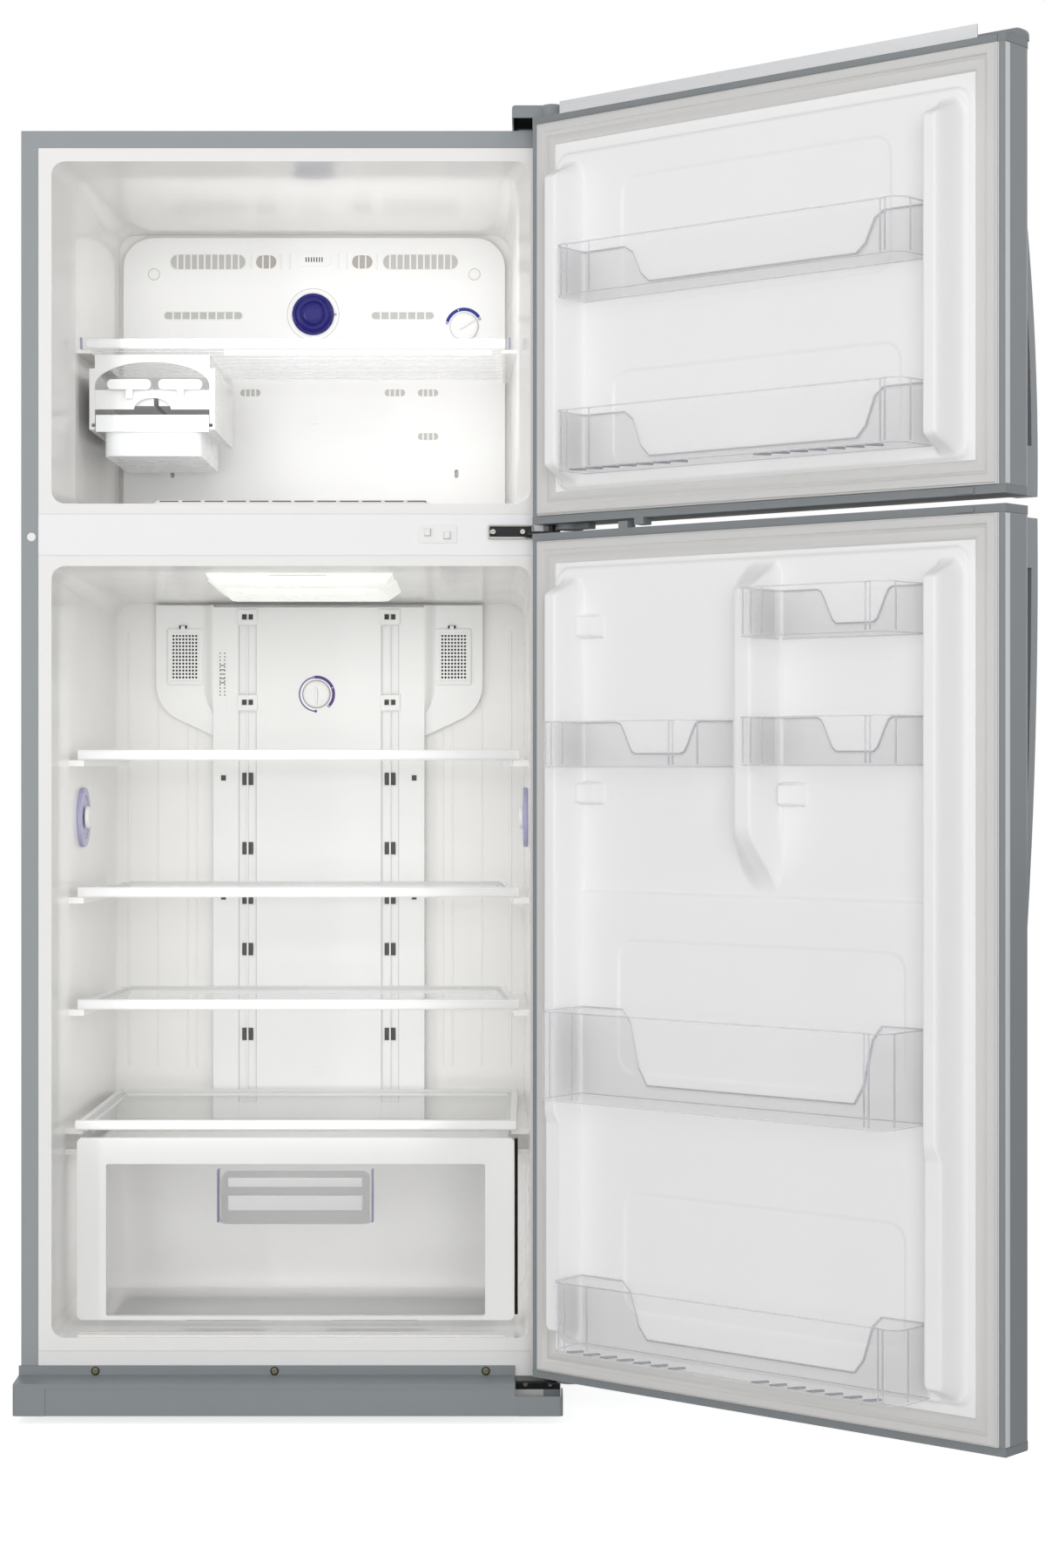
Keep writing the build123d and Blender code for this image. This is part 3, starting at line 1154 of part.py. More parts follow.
def cabinet_pieces():
    """Every piece that stays with the cabinet."""
    return {
        "cabinet_wrapper": make_wrapper(),
        "back_panel": make_back_panel(),
        "cabinet_foam": make_foam(),
        "freezer_liner": make_freezer_liner(),
        "fridge_liner": make_fridge_liner(),
        "mullion_cover": make_mullion_cover(),
        "base_frame": make_base_frame(),
        "kick_plate": make_kick_plate(),
        "screws": make_screws(),
        "levelling_feet": make_feet(),
        "compressor": make_compressor(),
        "machine_cover": make_machine_cover(),
        "evaporator": make_evaporator(),
        "fan_motor": make_fan_motor(),
        "top_hinge": make_top_hinge(),
        "top_hinge_cover": make_top_hinge_cover(),
        "middle_hinge": make_middle_hinge(),
        "bottom_hinge": make_bottom_hinge(),
        "cap_plugs": make_plugs(),
        "switch_housing": make_switch_housing(),
        "freezer_back_panel": make_freezer_panel(),
        "air_outlet_cap": make_outlet_cap(),
        "freezer_shelf": make_freezer_shelf(),
        "ice_maker_frame": make_ice_frame(),
        "duct_panel": make_duct(),
        "filter_covers": make_filter_covers(),
        "lamp_cover": make_lamp_cover(),
        "lamp": make_lamp(),
        "side_discs": make_side_discs(),
        "shelf_frames": make_shelf_frames(),
        "shelf_glass": make_shelf_glass(),
        "crisper_cover": frame_for(COVER_W, COVER_W, COVER_Y0, COVER_Y1, COVER_Z, SHELF_NOSE - 1),
        "crisper_glass": pane_for(COVER_W, COVER_W, COVER_Y0, COVER_Y1, COVER_Z),
    }


def moving_pieces():
    """Small pieces that move by themselves."""
    return {
        "crisper_drawer": make_crisper_tub(),
        "crisper_front": make_crisper_front(),
        "freezer_dial": make_dial(DIAL_X, PANEL_Y, DIAL_Z),
        "fridge_dial": make_dial(FRIDGE_DIAL_X, DUCT_Y - DUCT_STEP, FRIDGE_DIAL_Z),
        "freezer_switch_button": make_button(*BUTTONS[0]),
        "fridge_switch_button": make_button(*BUTTONS[1]),
        "fan_blades": make_fan_blades(),
        "roller_left": make_roller(-1),
        "roller_right": make_roller(1),
        "ice_tray_left": make_ice_tray(TRAY_X[0]),
        "ice_tray_right": make_ice_tray(TRAY_X[1]),
        "ice_bin": make_ice_bin(),
    }


def door_pieces():
    """Both doors, closed."""
    freezer_open = (FREEZER_Z0, FREEZER_Z1)
    fridge_open = (FRIDGE_Z0, FRIDGE_Z1)
    return {
        "freezer_door_skin": make_skin(FREEZER_DOOR),
        "freezer_door_foam": make_door_foam(FREEZER_DOOR, freezer_open, False),
        "freezer_door_liner": make_door_liner(FREEZER_DOOR, freezer_open, False),
        "freezer_door_gasket": make_gasket(FREEZER_DOOR),
        "freezer_door_handle": make_handle(FREEZER_DOOR[0] + CAP_INSET, FREEZER_HANDLE, 1),
        "freezer_door_caps": make_freezer_caps(),
        "freezer_door_bins": make_freezer_bins(),
        "fridge_door_skin": make_skin(FRIDGE_DOOR),
        "fridge_door_foam": make_door_foam(FRIDGE_DOOR, fridge_open, True),
        "fridge_door_liner": make_door_liner(FRIDGE_DOOR, fridge_open, True),
        "fridge_door_gasket": make_gasket(FRIDGE_DOOR),
        "fridge_door_handle": make_handle(FRIDGE_DOOR[1] - 11, FRIDGE_HANDLE, -1),
        "fridge_door_caps": make_fridge_caps(),
        "fridge_door_small_bins": make_small_bins(),
        "fridge_door_wide_bins": make_wide_bins(),
    }


os.makedirs("parts", exist_ok=True)
pieces = cabinet_pieces()
pieces.update(moving_pieces())
for name, shape in door_pieces().items():
    pieces[name] = swing_open(shape)
for name, shape in pieces.items():
    export_step(shape, "parts/" + name + ".step")
print(len(pieces), "pieces written")
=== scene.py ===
"""Looks of a top mount refrigerator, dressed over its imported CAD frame. Metres, +Z up."""

from __future__ import annotations

import json
import logging
import math
from dataclasses import dataclass
from enum import Enum
from functools import cache

import bmesh
import bpy
import numpy as np
from mathutils import Matrix, Vector

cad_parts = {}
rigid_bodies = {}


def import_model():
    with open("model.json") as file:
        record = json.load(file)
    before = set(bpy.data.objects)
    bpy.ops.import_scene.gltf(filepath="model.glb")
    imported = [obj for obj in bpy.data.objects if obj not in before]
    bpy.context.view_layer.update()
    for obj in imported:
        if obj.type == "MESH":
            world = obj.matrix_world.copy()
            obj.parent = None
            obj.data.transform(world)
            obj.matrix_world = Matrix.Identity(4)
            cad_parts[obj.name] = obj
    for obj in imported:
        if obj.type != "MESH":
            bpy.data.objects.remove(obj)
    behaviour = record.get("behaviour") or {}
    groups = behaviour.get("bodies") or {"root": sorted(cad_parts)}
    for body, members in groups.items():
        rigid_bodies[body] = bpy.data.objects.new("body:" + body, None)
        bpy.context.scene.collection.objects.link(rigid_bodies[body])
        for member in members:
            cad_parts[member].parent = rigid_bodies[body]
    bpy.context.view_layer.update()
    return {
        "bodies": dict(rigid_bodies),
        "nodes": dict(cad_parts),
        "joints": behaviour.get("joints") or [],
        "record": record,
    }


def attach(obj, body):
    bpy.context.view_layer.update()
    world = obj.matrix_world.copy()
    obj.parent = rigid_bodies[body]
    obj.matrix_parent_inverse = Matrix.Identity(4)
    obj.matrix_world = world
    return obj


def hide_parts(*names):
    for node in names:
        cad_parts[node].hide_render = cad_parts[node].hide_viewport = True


LOG = logging.getLogger("refrigerator")
Point = tuple[float, float, float]
Pair = tuple[float, float]
Ring = list[Point]
MM = 0.001
OPEN_ANGLE = math.radians(139.8)
PIN_X = 373.0
PIN_Y = -36.5


Colour = tuple[float, float, float, float]


def srgb(r: float, g: float, b: float) -> Colour:
    """Linear colour of three display values from 0 to 255."""
    def linear(v: float) -> float:
        v /= 255
        return v / 12.92 if v <= 0.04045 else ((v + 0.055) / 1.055) ** 2.4
    return (linear(r), linear(g), linear(b), 1.0)


class Surface(Enum):
    """Kinds of procedural surface that a finish can have."""

    MOULDED = "moulded"
    PAINTED = "painted"
    METAL = "metal"
    RUBBER = "rubber"
    CLEAR = "clear"
    GLOWING = "glowing"
    FOAM = "foam"


class Wiring:
    """Builds a node tree: each node is added with its inputs, as links or plain values."""

    def __init__(self, tree: bpy.types.NodeTree) -> None:
        """Takes the tree to fill."""
        self.tree = tree

    @classmethod
    def group(cls, name: str, kind: str, inputs: dict, outputs: dict) -> Wiring:
        """A new node group with its sockets.

        Args:
            name: Name of the group.
            kind: Its tree type.
            inputs: Socket type and first value by name.
            outputs: Socket type by name.
        """
        wiring = cls(bpy.data.node_groups.new(name, kind))
        face = wiring.tree.interface
        for label, (socket_kind, value) in inputs.items():
            socket = face.new_socket(name=label, in_out="INPUT", socket_type="NodeSocket" + socket_kind)
            if value is not None:
                socket.default_value = value
        for label, socket_kind in outputs.items():
            face.new_socket(name=label, in_out="OUTPUT", socket_type="NodeSocket" + socket_kind)
        return wiring

    def add(self, kind: str, inputs: dict | None = None, **settings: object) -> bpy.types.bpy_prop_collection:
        """Adds a node and returns its outputs.

        Args:
            kind: Type of the node.
            inputs: For each input, by name or number, a socket, a list of sockets or a value.
            settings: Attributes of the node.
        """
        node = self.tree.nodes.new(kind)
        for name, value in settings.items():
            setattr(node, name, value)
        for key, value in (inputs or {}).items():
            for item in value if isinstance(value, list) else [value]:
                if isinstance(item, bpy.types.NodeSocket):
                    self.tree.links.new(item, node.inputs[key])
                else:
                    node.inputs[key].default_value = item
        return node.outputs

    def maths(self, operation: str, a: object, b: object) -> bpy.types.NodeSocket:
        """Result of one operation on two sockets or values."""
        return self.add("ShaderNodeMath", {0: a, 1: b}, operation=operation)[0]

    def painted(self, geometry: bpy.types.NodeSocket, finish: bpy.types.NodeSocket) -> None:
        """Ends a geometry tree: real instances with their material."""
        real = self.add("GeometryNodeRealizeInstances", {"Geometry": geometry})
        paint = self.add("GeometryNodeSetMaterial", {"Geometry": real[0], "Material": finish})
        self.add("NodeGroupOutput", {"Geometry": paint[0]})


def modified(obj: bpy.types.Object, tree: bpy.types.NodeTree, finish: Finish,
             **sizes: float) -> bpy.types.Object:
    """The object with a geometry tree applied, its sizes in millimetres set by socket identifier."""
    modifier = obj.modifiers.new(tree.name, "NODES")
    modifier.node_group = tree
    keys = {item.name: item.identifier for item in tree.interface.items_tree if item.in_out == "INPUT"}
    for key, value in sizes.items():
        label = key.replace("_", " ").title()
        modifier[keys[label]] = int(value) if label in ("Columns", "Rows") else value * MM
    modifier[keys["Finish"]] = finish.material()
    obj = baked(obj)
    if not obj.data.materials:
        obj.data.materials.append(finish.material())
    return obj


@cache
def grain_group() -> bpy.types.NodeTree:
    """Fine surface grain: a height for bumps and a soft value for tone."""
    wiring = Wiring.group("surface_grain", "ShaderNodeTree",
                          {"Vector": ("Vector", None), "Scale": ("Float", 900.0), "Detail": ("Float", 3.0)},
                          {"Height": "Float", "Tone": "Float"})
    start = wiring.add("NodeGroupInput")
    fine = wiring.add("ShaderNodeTexNoise", {key: start[key] for key in ("Vector", "Scale", "Detail")})
    wide = wiring.add("ShaderNodeTexNoise", {"Vector": start["Vector"], "Scale": 7.0, "Detail": 2.0})
    wiring.add("NodeGroupOutput", {"Height": fine["Fac"], "Tone": wide["Fac"]})
    return wiring.tree


@cache
def smudge_group() -> bpy.types.NodeTree:
    """Soft roughness changes left by moulding and handling."""
    wiring = Wiring.group("handling_marks", "ShaderNodeTree",
                          {"Vector": ("Vector", None), "Low": ("Float", 0.25), "High": ("Float", 0.35)},
                          {"Roughness": "Float"})
    start = wiring.add("NodeGroupInput")
    noise = wiring.add("ShaderNodeTexNoise", {"Vector": start["Vector"], "Scale": 11.0, "Detail": 4.0})
    spread = wiring.add("ShaderNodeMapRange", {"Value": noise["Fac"], "From Min": 0.3, "From Max": 0.7,
                                               "To Min": start["Low"], "To Max": start["High"]})
    wiring.add("NodeGroupOutput", {"Roughness": spread["Result"]})
    return wiring.tree


@dataclass(frozen=True)
class Finish:
    """One finish of the refrigerator's surfaces."""

    name: str
    surface: Surface
    colour: Colour
    roughness: Pair = (0.3, 0.4)
    grain_scale: float = 900.0
    bump: float = 0.05
    tone: float = 0.03
    metallic: float = 0.0
    alpha: float = 1.0
    coat: float = 0.0
    ior: float = 1.47
    specular: float = 0.5
    glow: float = 0.0

    def material(self) -> bpy.types.Material:
        """The node material of this finish, made the first time it is asked for."""
        found = bpy.data.materials.get("finish_" + self.name)
        if found is not None:
            return found
        material = bpy.data.materials.new("finish_" + self.name)
        material.use_nodes = True
        wiring = Wiring(material.node_tree)
        wiring.tree.nodes.clear()
        where = wiring.add("ShaderNodeTexCoord")["Object"]
        grain = wiring.add("ShaderNodeGroup", node_tree=grain_group())[0].node
        marks = wiring.add("ShaderNodeGroup", node_tree=smudge_group())[0].node
        grain.inputs["Scale"].default_value = self.grain_scale
        marks.inputs["Low"].default_value, marks.inputs["High"].default_value = self.roughness
        for group in (grain, marks):
            wiring.tree.links.new(where, group.inputs["Vector"])
        low = tuple(c * (1 - self.tone) for c in self.colour[:3]) + (1.0,)
        high = tuple(min(1.0, c * (1 + self.tone * 0.4)) for c in self.colour[:3]) + (1.0,)
        tint = wiring.add("ShaderNodeMix", {"Factor": grain.outputs["Tone"]}, data_type="RGBA")[0].node
        tint.inputs["A"].default_value, tint.inputs["B"].default_value = low, high
        inputs = {"Roughness": marks.outputs["Roughness"], "Base Color": tint.outputs["Result"], "IOR": self.ior,
                  "Specular IOR Level": self.specular, "Metallic": self.metallic, "Coat Weight": self.coat,
                  "Coat Roughness": 0.08}
        if self.bump > 0:
            inputs["Normal"] = wiring.add("ShaderNodeBump", {
                "Height": grain.outputs["Height"], "Strength": self.bump, "Distance": 0.0004})[0]
        if self.surface is Surface.CLEAR:
            rim = wiring.add("ShaderNodeLayerWeight", {"Blend": 0.22})
            inputs["Alpha"] = wiring.add("ShaderNodeMapRange", {
                "Value": rim["Facing"], "To Min": self.alpha, "To Max": min(1.0, self.alpha + 0.13)})["Result"]
        # Painted light: every clear finish also glows faintly in its own colour, though it is no lamp, so the
        # clear plastics look brighter.
        glow = 0.04 if self.surface is Surface.CLEAR else self.glow
        if glow:
            inputs |= {"Emission Color": self.colour, "Emission Strength": glow}
        shader = wiring.add("ShaderNodeBsdfPrincipled", inputs)
        wiring.add("ShaderNodeOutputMaterial", {"Surface": shader[0]})
        return material


WHITE_LINER = Finish("white_liner", Surface.MOULDED, srgb(246, 245, 243), (0.13, 0.17), 500.0, 0.01, 0.008)
DOOR_LINER = Finish("door_liner", Surface.MOULDED, srgb(248, 248, 248), (0.2, 0.24), 500.0, 0.01, 0.008)
SOFT_WHITE = Finish("soft_white", Surface.MOULDED, srgb(228, 228, 227), (0.24, 0.28), 900.0, 0.03, 0.01)
WHITE_PLASTIC = Finish("white_plastic", Surface.MOULDED, srgb(246, 246, 245), (0.29, 0.3), 900.0, 0.03, 0.01)
FLANGE_PAINT = Finish("flange_paint", Surface.PAINTED, srgb(249, 249, 250),
                      (0.3, 0.34), 700.0, 0.03, 0.01, coat=0.1)
SIDE_PAINT = Finish("side_paint", Surface.PAINTED, srgb(156, 161, 164),
                    (0.34, 0.4), 420.0, 0.08, 0.02, 0.0, coat=0.05)
DOOR_PAINT = Finish("door_paint", Surface.PAINTED, srgb(138, 143, 147),
                    (0.3, 0.34), 1500.0, 0.02, 0.012, 0.1, coat=0.1)
# Pale grey with a coat: a painted highlight along the door skin's folded edge, and the silver of the freezer
# door's crown.
SKIN_EDGE_AND_HIGHLIGHT = Finish("skin_silver_and_highlight", Surface.PAINTED, srgb(222, 223, 225),
                   (0.2, 0.25), 1500.0, 0.01, 0.01, coat=0.2)
BACK_SHEET = Finish("back_sheet", Surface.METAL, srgb(150, 154, 156), (0.42, 0.5), 300.0, 0.1, 0.06, 0.5)
GREY_PLASTIC = Finish("grey_plastic", Surface.MOULDED, srgb(140, 146, 149), (0.36, 0.42), 1100.0, 0.12, 0.03)
DARK_GREY = Finish("dark_grey_plastic", Surface.MOULDED, srgb(132, 137, 140),
                   (0.38, 0.44), 1100.0, 0.12, 0.03)
HANDLE_SILVER = Finish("handle_silver", Surface.PAINTED, srgb(142, 147, 151),
                       (0.26, 0.32), 1400.0, 0.05, 0.02, 0.2, coat=0.25)
GASKET = Finish("gasket_rubber", Surface.RUBBER, srgb(216, 215, 213),
                (0.5, 0.58), 700.0, 0.06, 0.03, specular=0.35)
DARK_STEEL = Finish("dark_steel", Surface.METAL, srgb(34, 35, 37), (0.3, 0.4), 500.0, 0.1, 0.1, 0.2)
BASE_STEEL = Finish("base_steel", Surface.METAL, srgb(172, 174, 176), (0.34, 0.44), 400.0, 0.1, 0.06, 0.85)
ZINC = Finish("zinc", Surface.METAL, srgb(206, 204, 196), (0.16, 0.24), 600.0, 0.05, 0.05, 1.0)
SCREW_BRASS = Finish("screw_brass", Surface.METAL, srgb(150, 146, 118), (0.3, 0.4), 600.0, 0.05, 0.08, 0.8)
RAIL_WHITE = Finish("rail_white", Surface.PAINTED, srgb(240, 240, 239),
                    (0.34, 0.42), 500.0, 0.05, 0.02, coat=0.1)
FOOT = Finish("foot_plastic", Surface.MOULDED, srgb(38, 39, 41), (0.45, 0.55), 700.0, 0.15, 0.1)
COMPRESSOR = Finish("compressor_black", Surface.PAINTED, srgb(24, 24, 26),
                    (0.3, 0.38), 260.0, 0.25, 0.12, coat=0.2)
FINS = Finish("fin_aluminium", Surface.METAL, srgb(205, 206, 208), (0.28, 0.36), 500.0, 0.08, 0.05, 1.0)
BLUE = Finish("blue_plastic", Surface.MOULDED, srgb(18, 11, 112), (0.1, 0.13), 700.0, 0.02, 0.05, coat=0.3)
CLEAR = Finish("clear_plastic", Surface.CLEAR, srgb(250, 250, 252),
               (0.05, 0.07), 600.0, 0.01, 0.01, alpha=0.04)
# Grey, half opaque lines that paint the edge shade and reflections of the clear bins' rims and corners, over
# their thicker rolled rim.
CLEAR_RIM = Finish("clear_rim", Surface.CLEAR, srgb(228, 228, 234),
                   (0.06, 0.1), 600.0, 0.01, 0.01, alpha=0.42)
RIBBED = Finish("ribbed_clear", Surface.CLEAR, srgb(249, 249, 251),
                (0.08, 0.12), 600.0, 0.02, 0.01, alpha=0.3)
FROST = Finish("frost_plastic", Surface.CLEAR, srgb(249, 250, 251),
               (0.24, 0.3), 900.0, 0.03, 0.01, alpha=0.82)
MILKY = Finish("milky_plastic", Surface.CLEAR, srgb(250, 250, 250),
               (0.14, 0.18), 900.0, 0.02, 0.01, alpha=0.62)
PANE = Finish("shelf_pane", Surface.CLEAR, srgb(232, 236, 234),
              (0.02, 0.03), 300.0, 0.0, 0.01, alpha=0.08, ior=1.52)
TINTED = Finish("lavender_edge", Surface.CLEAR, srgb(150, 148, 186),
                (0.08, 0.12), 600.0, 0.01, 0.02, alpha=0.5)
GLOW = Finish("lamp_diffuser", Surface.GLOWING, srgb(250, 250, 244), (0.25, 0.3), 600.0, 0.03, 0.01, glow=0.3)
BOARD = Finish("lamp_board", Surface.MOULDED, srgb(242, 242, 230), (0.5, 0.6), 700.0, 0.05, 0.05)
LAVENDER = Finish("lavender_plastic", Surface.MOULDED, srgb(178, 176, 208), (0.24, 0.3), 900.0, 0.03, 0.02)
FOAM = Finish("foam", Surface.FOAM, srgb(222, 206, 160), (0.8, 0.95), 160.0, 0.8, 0.2)
ROLLER = Finish("roller_plastic", Surface.MOULDED, srgb(60, 61, 63), (0.42, 0.5), 700.0, 0.15, 0.1)
VENT_SHADE = Finish("vent_shade", Surface.MOULDED, srgb(196, 195, 192), (0.5, 0.6), 700.0, 0.03, 0.02)
WARM_SHADE = Finish("warm_shade", Surface.MOULDED, srgb(190, 185, 180), (0.5, 0.6), 700.0, 0.03, 0.02)
# Painted shade: grey translucent marks where the bins' drain slots are.
DRAIN_SHADE = Finish("drain_slot_shade", Surface.CLEAR, srgb(150, 152, 160), (0.2, 0.3), 600.0, 0.01, 0.02, alpha=0.6)
# Painted shade: mid grey laid inside slots, slits and gaps where only shade falls.
SLOT_SHADE = Finish("slot_painted_shade", Surface.MOULDED, srgb(96, 95, 93), (0.6, 0.7), 500.0, 0.05, 0.1, specular=0.2)
# Painted shade: near black behind holes, round screw heads and in gaps where only shade falls.
HOLE_SHADE = Finish("hole_painted_shade", Surface.MOULDED, srgb(42, 40, 38), (0.7, 0.8), 500.0, 0.05, 0.1, specular=0.1)
PRINT_NAVY = Finish("print_navy", Surface.PAINTED, srgb(34, 46, 140), (0.34, 0.4), 900.0, 0.02, 0.03)
PRINT_PURPLE = Finish("print_purple", Surface.PAINTED, srgb(88, 62, 138), (0.34, 0.4), 900.0, 0.02, 0.03)
# Painted shade: grey lines that stand for the shade in grooves and gaps round plugs, caps, dials and channels.
SHADE_LINE = Finish("painted_shade_line", Surface.MOULDED, srgb(186, 185, 183), (0.5, 0.6), 900.0, 0.02, 0.02)

SLOT_FINISHES = {f.name: f for f in (
    WHITE_LINER, WHITE_PLASTIC, FLANGE_PAINT, SIDE_PAINT, DOOR_PAINT, BACK_SHEET, GREY_PLASTIC, DARK_GREY,
    HANDLE_SILVER, GASKET, DARK_STEEL, BASE_STEEL, ZINC, FOOT, COMPRESSOR, FINS, BLUE, CLEAR, FROST, PANE,
    GLOW, BOARD, LAVENDER, FOAM, ROLLER)}


def smooth(value: np.ndarray, start: float, end: float) -> np.ndarray:
    """Eased step from 0 at start to 1 at end."""
    t = np.clip((value - start) / (end - start), 0, 1)
    return t * t * (3 - 2 * t)


def ramp(value: np.ndarray, start: float, end: float, ease: float = 0.07) -> np.ndarray:
    """Straight rise from 0 at start to 1 at end, rounded off over a share of its run at each end."""
    t = np.clip((value - start) / (end - start), 0, 1)
    low, high = t * t / (2 * ease), 1 - ease - (1 - t) ** 2 / (2 * ease)
    return np.where(t < ease, low, np.where(t > 1 - ease, high, t - ease / 2)) / (1 - ease)


def rounded_distance(x: np.ndarray, z: np.ndarray, box: tuple[float, float, float, float],
                     r: float) -> np.ndarray:
    """Signed distance to the outline of a rounded rectangle, negative inside.

    Args:
        x: Points across.
        z: Points up.
        box: Lowest x, highest x, lowest z, highest z.
        r: Corner radius.
    """
    dx = np.abs(x - (box[0] + box[1]) / 2) - (box[1] - box[0]) / 2 + r
    dz = np.abs(z - (box[2] + box[3]) / 2) - (box[3] - box[2]) / 2 + r
    outside = np.hypot(np.maximum(dx, 0), np.maximum(dz, 0))
    return outside + np.minimum(np.maximum(dx, dz), 0) - r


def spaced(start: float, end: float, coarse: float,
           dense: Ring) -> np.ndarray:
    """Grid lines from start to end, closer together inside each dense stretch."""
    lines = [start]
    while lines[-1] < end - 1e-6:
        here = lines[-1]
        step = min([d[2] for d in dense if d[0] - 1e-6 <= here < d[1]] or [coarse])
        ahead = [d[0] for d in dense if here + 1e-6 < d[0] < here + step]
        lines.append(min([here + step, end] + ahead))
    return np.array(lines)


def soften(bm: bmesh.types.BMesh, bevel: float, segments: int, angle: float, crisp: float) -> None:
    """Rounds the sharp edges of a mesh and shades it smooth.

    Args:
        bm: The mesh.
        bevel: Width of the rounded edges in millimetres, 0 for none.
        segments: Steps across each rounded edge.
        angle: Edges sharper than this many degrees are rounded.
        crisp: Edges sharper than this many degrees stay crisp in the shading.
    """
    if bevel > 0:
        sharp = [e for e in bm.edges if e.is_manifold and e.calc_face_angle(0) > math.radians(angle)]
        bmesh.ops.bevel(bm, geom=sharp, offset=bevel * MM, segments=segments, profile=0.5,
                        affect="EDGES", clamp_overlap=True)
    for face in bm.faces:
        face.smooth = True
    for edge in bm.edges:
        edge.smooth = not edge.is_manifold or edge.calc_face_angle(0) < math.radians(crisp)


def placed(name: str, mesh: bpy.types.Mesh) -> bpy.types.Object:
    """A mesh as an object at the origin, linked to the scene."""
    obj = bpy.data.objects.new(name, mesh)
    bpy.context.scene.collection.objects.link(obj)
    return obj


class Shape:
    """A closed mesh under construction, in millimetres."""

    def __init__(self) -> None:
        """Starts empty."""
        self.points: Ring = []
        self.faces: list[list[int]] = []

    def add(self, points: Ring) -> list[int]:
        """Adds points and returns their numbers."""
        start = len(self.points)
        self.points.extend(tuple(float(c) for c in p) for p in points)
        return list(range(start, len(self.points)))

    def join(self, a: list[int], b: list[int], closed: bool = True) -> None:
        """Fills the strip between two rows of the same length."""
        n = len(a)
        for i in range(n if closed else n - 1):
            j = (i + 1) % n
            self.faces.append([a[i], a[j], b[j], b[i]])

    def loft(self, rings: list[Ring], ends: bool = True) -> None:
        """Skins a row of rings of equal length, with flat ends or joined end to end."""
        rows = [self.add(r) for r in rings]
        for a, b in zip(rows, rows[1:]):
            self.join(a, b)
        if ends:
            self.faces.append(list(reversed(rows[0])))
            self.faces.append(rows[-1])
        else:
            self.join(rows[-1], rows[0])

    def block(self, x: Pair, y: Pair, z: Pair) -> None:
        """Adds a box between three pairs of coordinates."""
        low, high = ([(x[0], y[0], h), (x[1], y[0], h), (x[1], y[1], h), (x[0], y[1], h)] for h in z)
        self.loft([low, high])

    def disc(self, centre: Point, profile: list[Pair],
             sides: int = 48) -> None:
        """Turned form round an axis along Y, from (radius, y offset) points."""
        cx, cy, cz = centre
        rings = []
        for r, dy in profile:
            rings.append([(cx + r * math.cos(2 * math.pi * k / sides), cy + dy,
                           cz + r * math.sin(2 * math.pi * k / sides)) for k in range(sides)])
        self.loft(rings)

    def object(self, name: str, finish: Finish, bevel: float = 0.0, segments: int = 3,
               angle: float = 32.0, turned: Matrix | None = None) -> bpy.types.Object:
        """The finished object at the origin, in metres.

        Args:
            name: Name of the piece.
            finish: Its finish.
            bevel: Width of its softened edges in millimetres, 0 for none.
            segments: Steps across each softened edge.
            angle: Edges sharper than this many degrees stay crisp or get the bevel.
            turned: A matrix in metres that its mesh is placed by.
        """
        mesh = bpy.data.meshes.new(name)
        mesh.from_pydata(self.points, [], self.faces)
        bm = bmesh.new()
        bm.from_mesh(mesh)
        bmesh.ops.remove_doubles(bm, verts=bm.verts, dist=1e-4)
        bmesh.ops.recalc_face_normals(bm, faces=bm.faces)
        bmesh.ops.scale(bm, vec=(MM, MM, MM), verts=bm.verts)
        soften(bm, bevel, segments, angle, angle + 8)
        bm.to_mesh(mesh)
        bm.free()
        if turned is not None:
            mesh.transform(turned)
        mesh.materials.append(finish.material())
        return placed(name, mesh)


def boxes(name: str, finish: Finish, rows: list[tuple[Pair, Pair, Pair]], bevel: float = 0.0,
          segments: int = 3, turned: Matrix | None = None) -> bpy.types.Object:
    """One piece of several boxes, each given by its x, y and z range."""
    shape = Shape()
    for row in rows:
        shape.block(*row)
    return shape.object(name, finish, bevel, segments, turned=turned)


def baked(obj: bpy.types.Object) -> bpy.types.Object:
    """The same object with its modifiers turned into plain mesh."""
    graph = bpy.context.evaluated_depsgraph_get()
    mesh = bpy.data.meshes.new_from_object(obj.evaluated_get(graph))
    obj.modifiers.clear()
    obj.data = mesh
    return obj


def joined(name: str, parts: list[bpy.types.Object]) -> bpy.types.Object:
    """Several objects made one, each face with its own finish."""
    bm = bmesh.new()
    finishes: list[bpy.types.Material] = []
    for part in parts:
        start = len(bm.faces)
        bm.from_mesh(part.data)
        bm.faces.ensure_lookup_table()
        for face in bm.faces[start:]:
            material = part.data.materials[face.material_index]
            if material not in finishes:
                finishes.append(material)
            face.material_index = finishes.index(material)
    mesh = bpy.data.meshes.new(name)
    bm.to_mesh(mesh)
    bm.free()
    for material in finishes:
        mesh.materials.append(material)
    for part in parts:
        bpy.data.objects.remove(part)
    return placed(name, mesh)


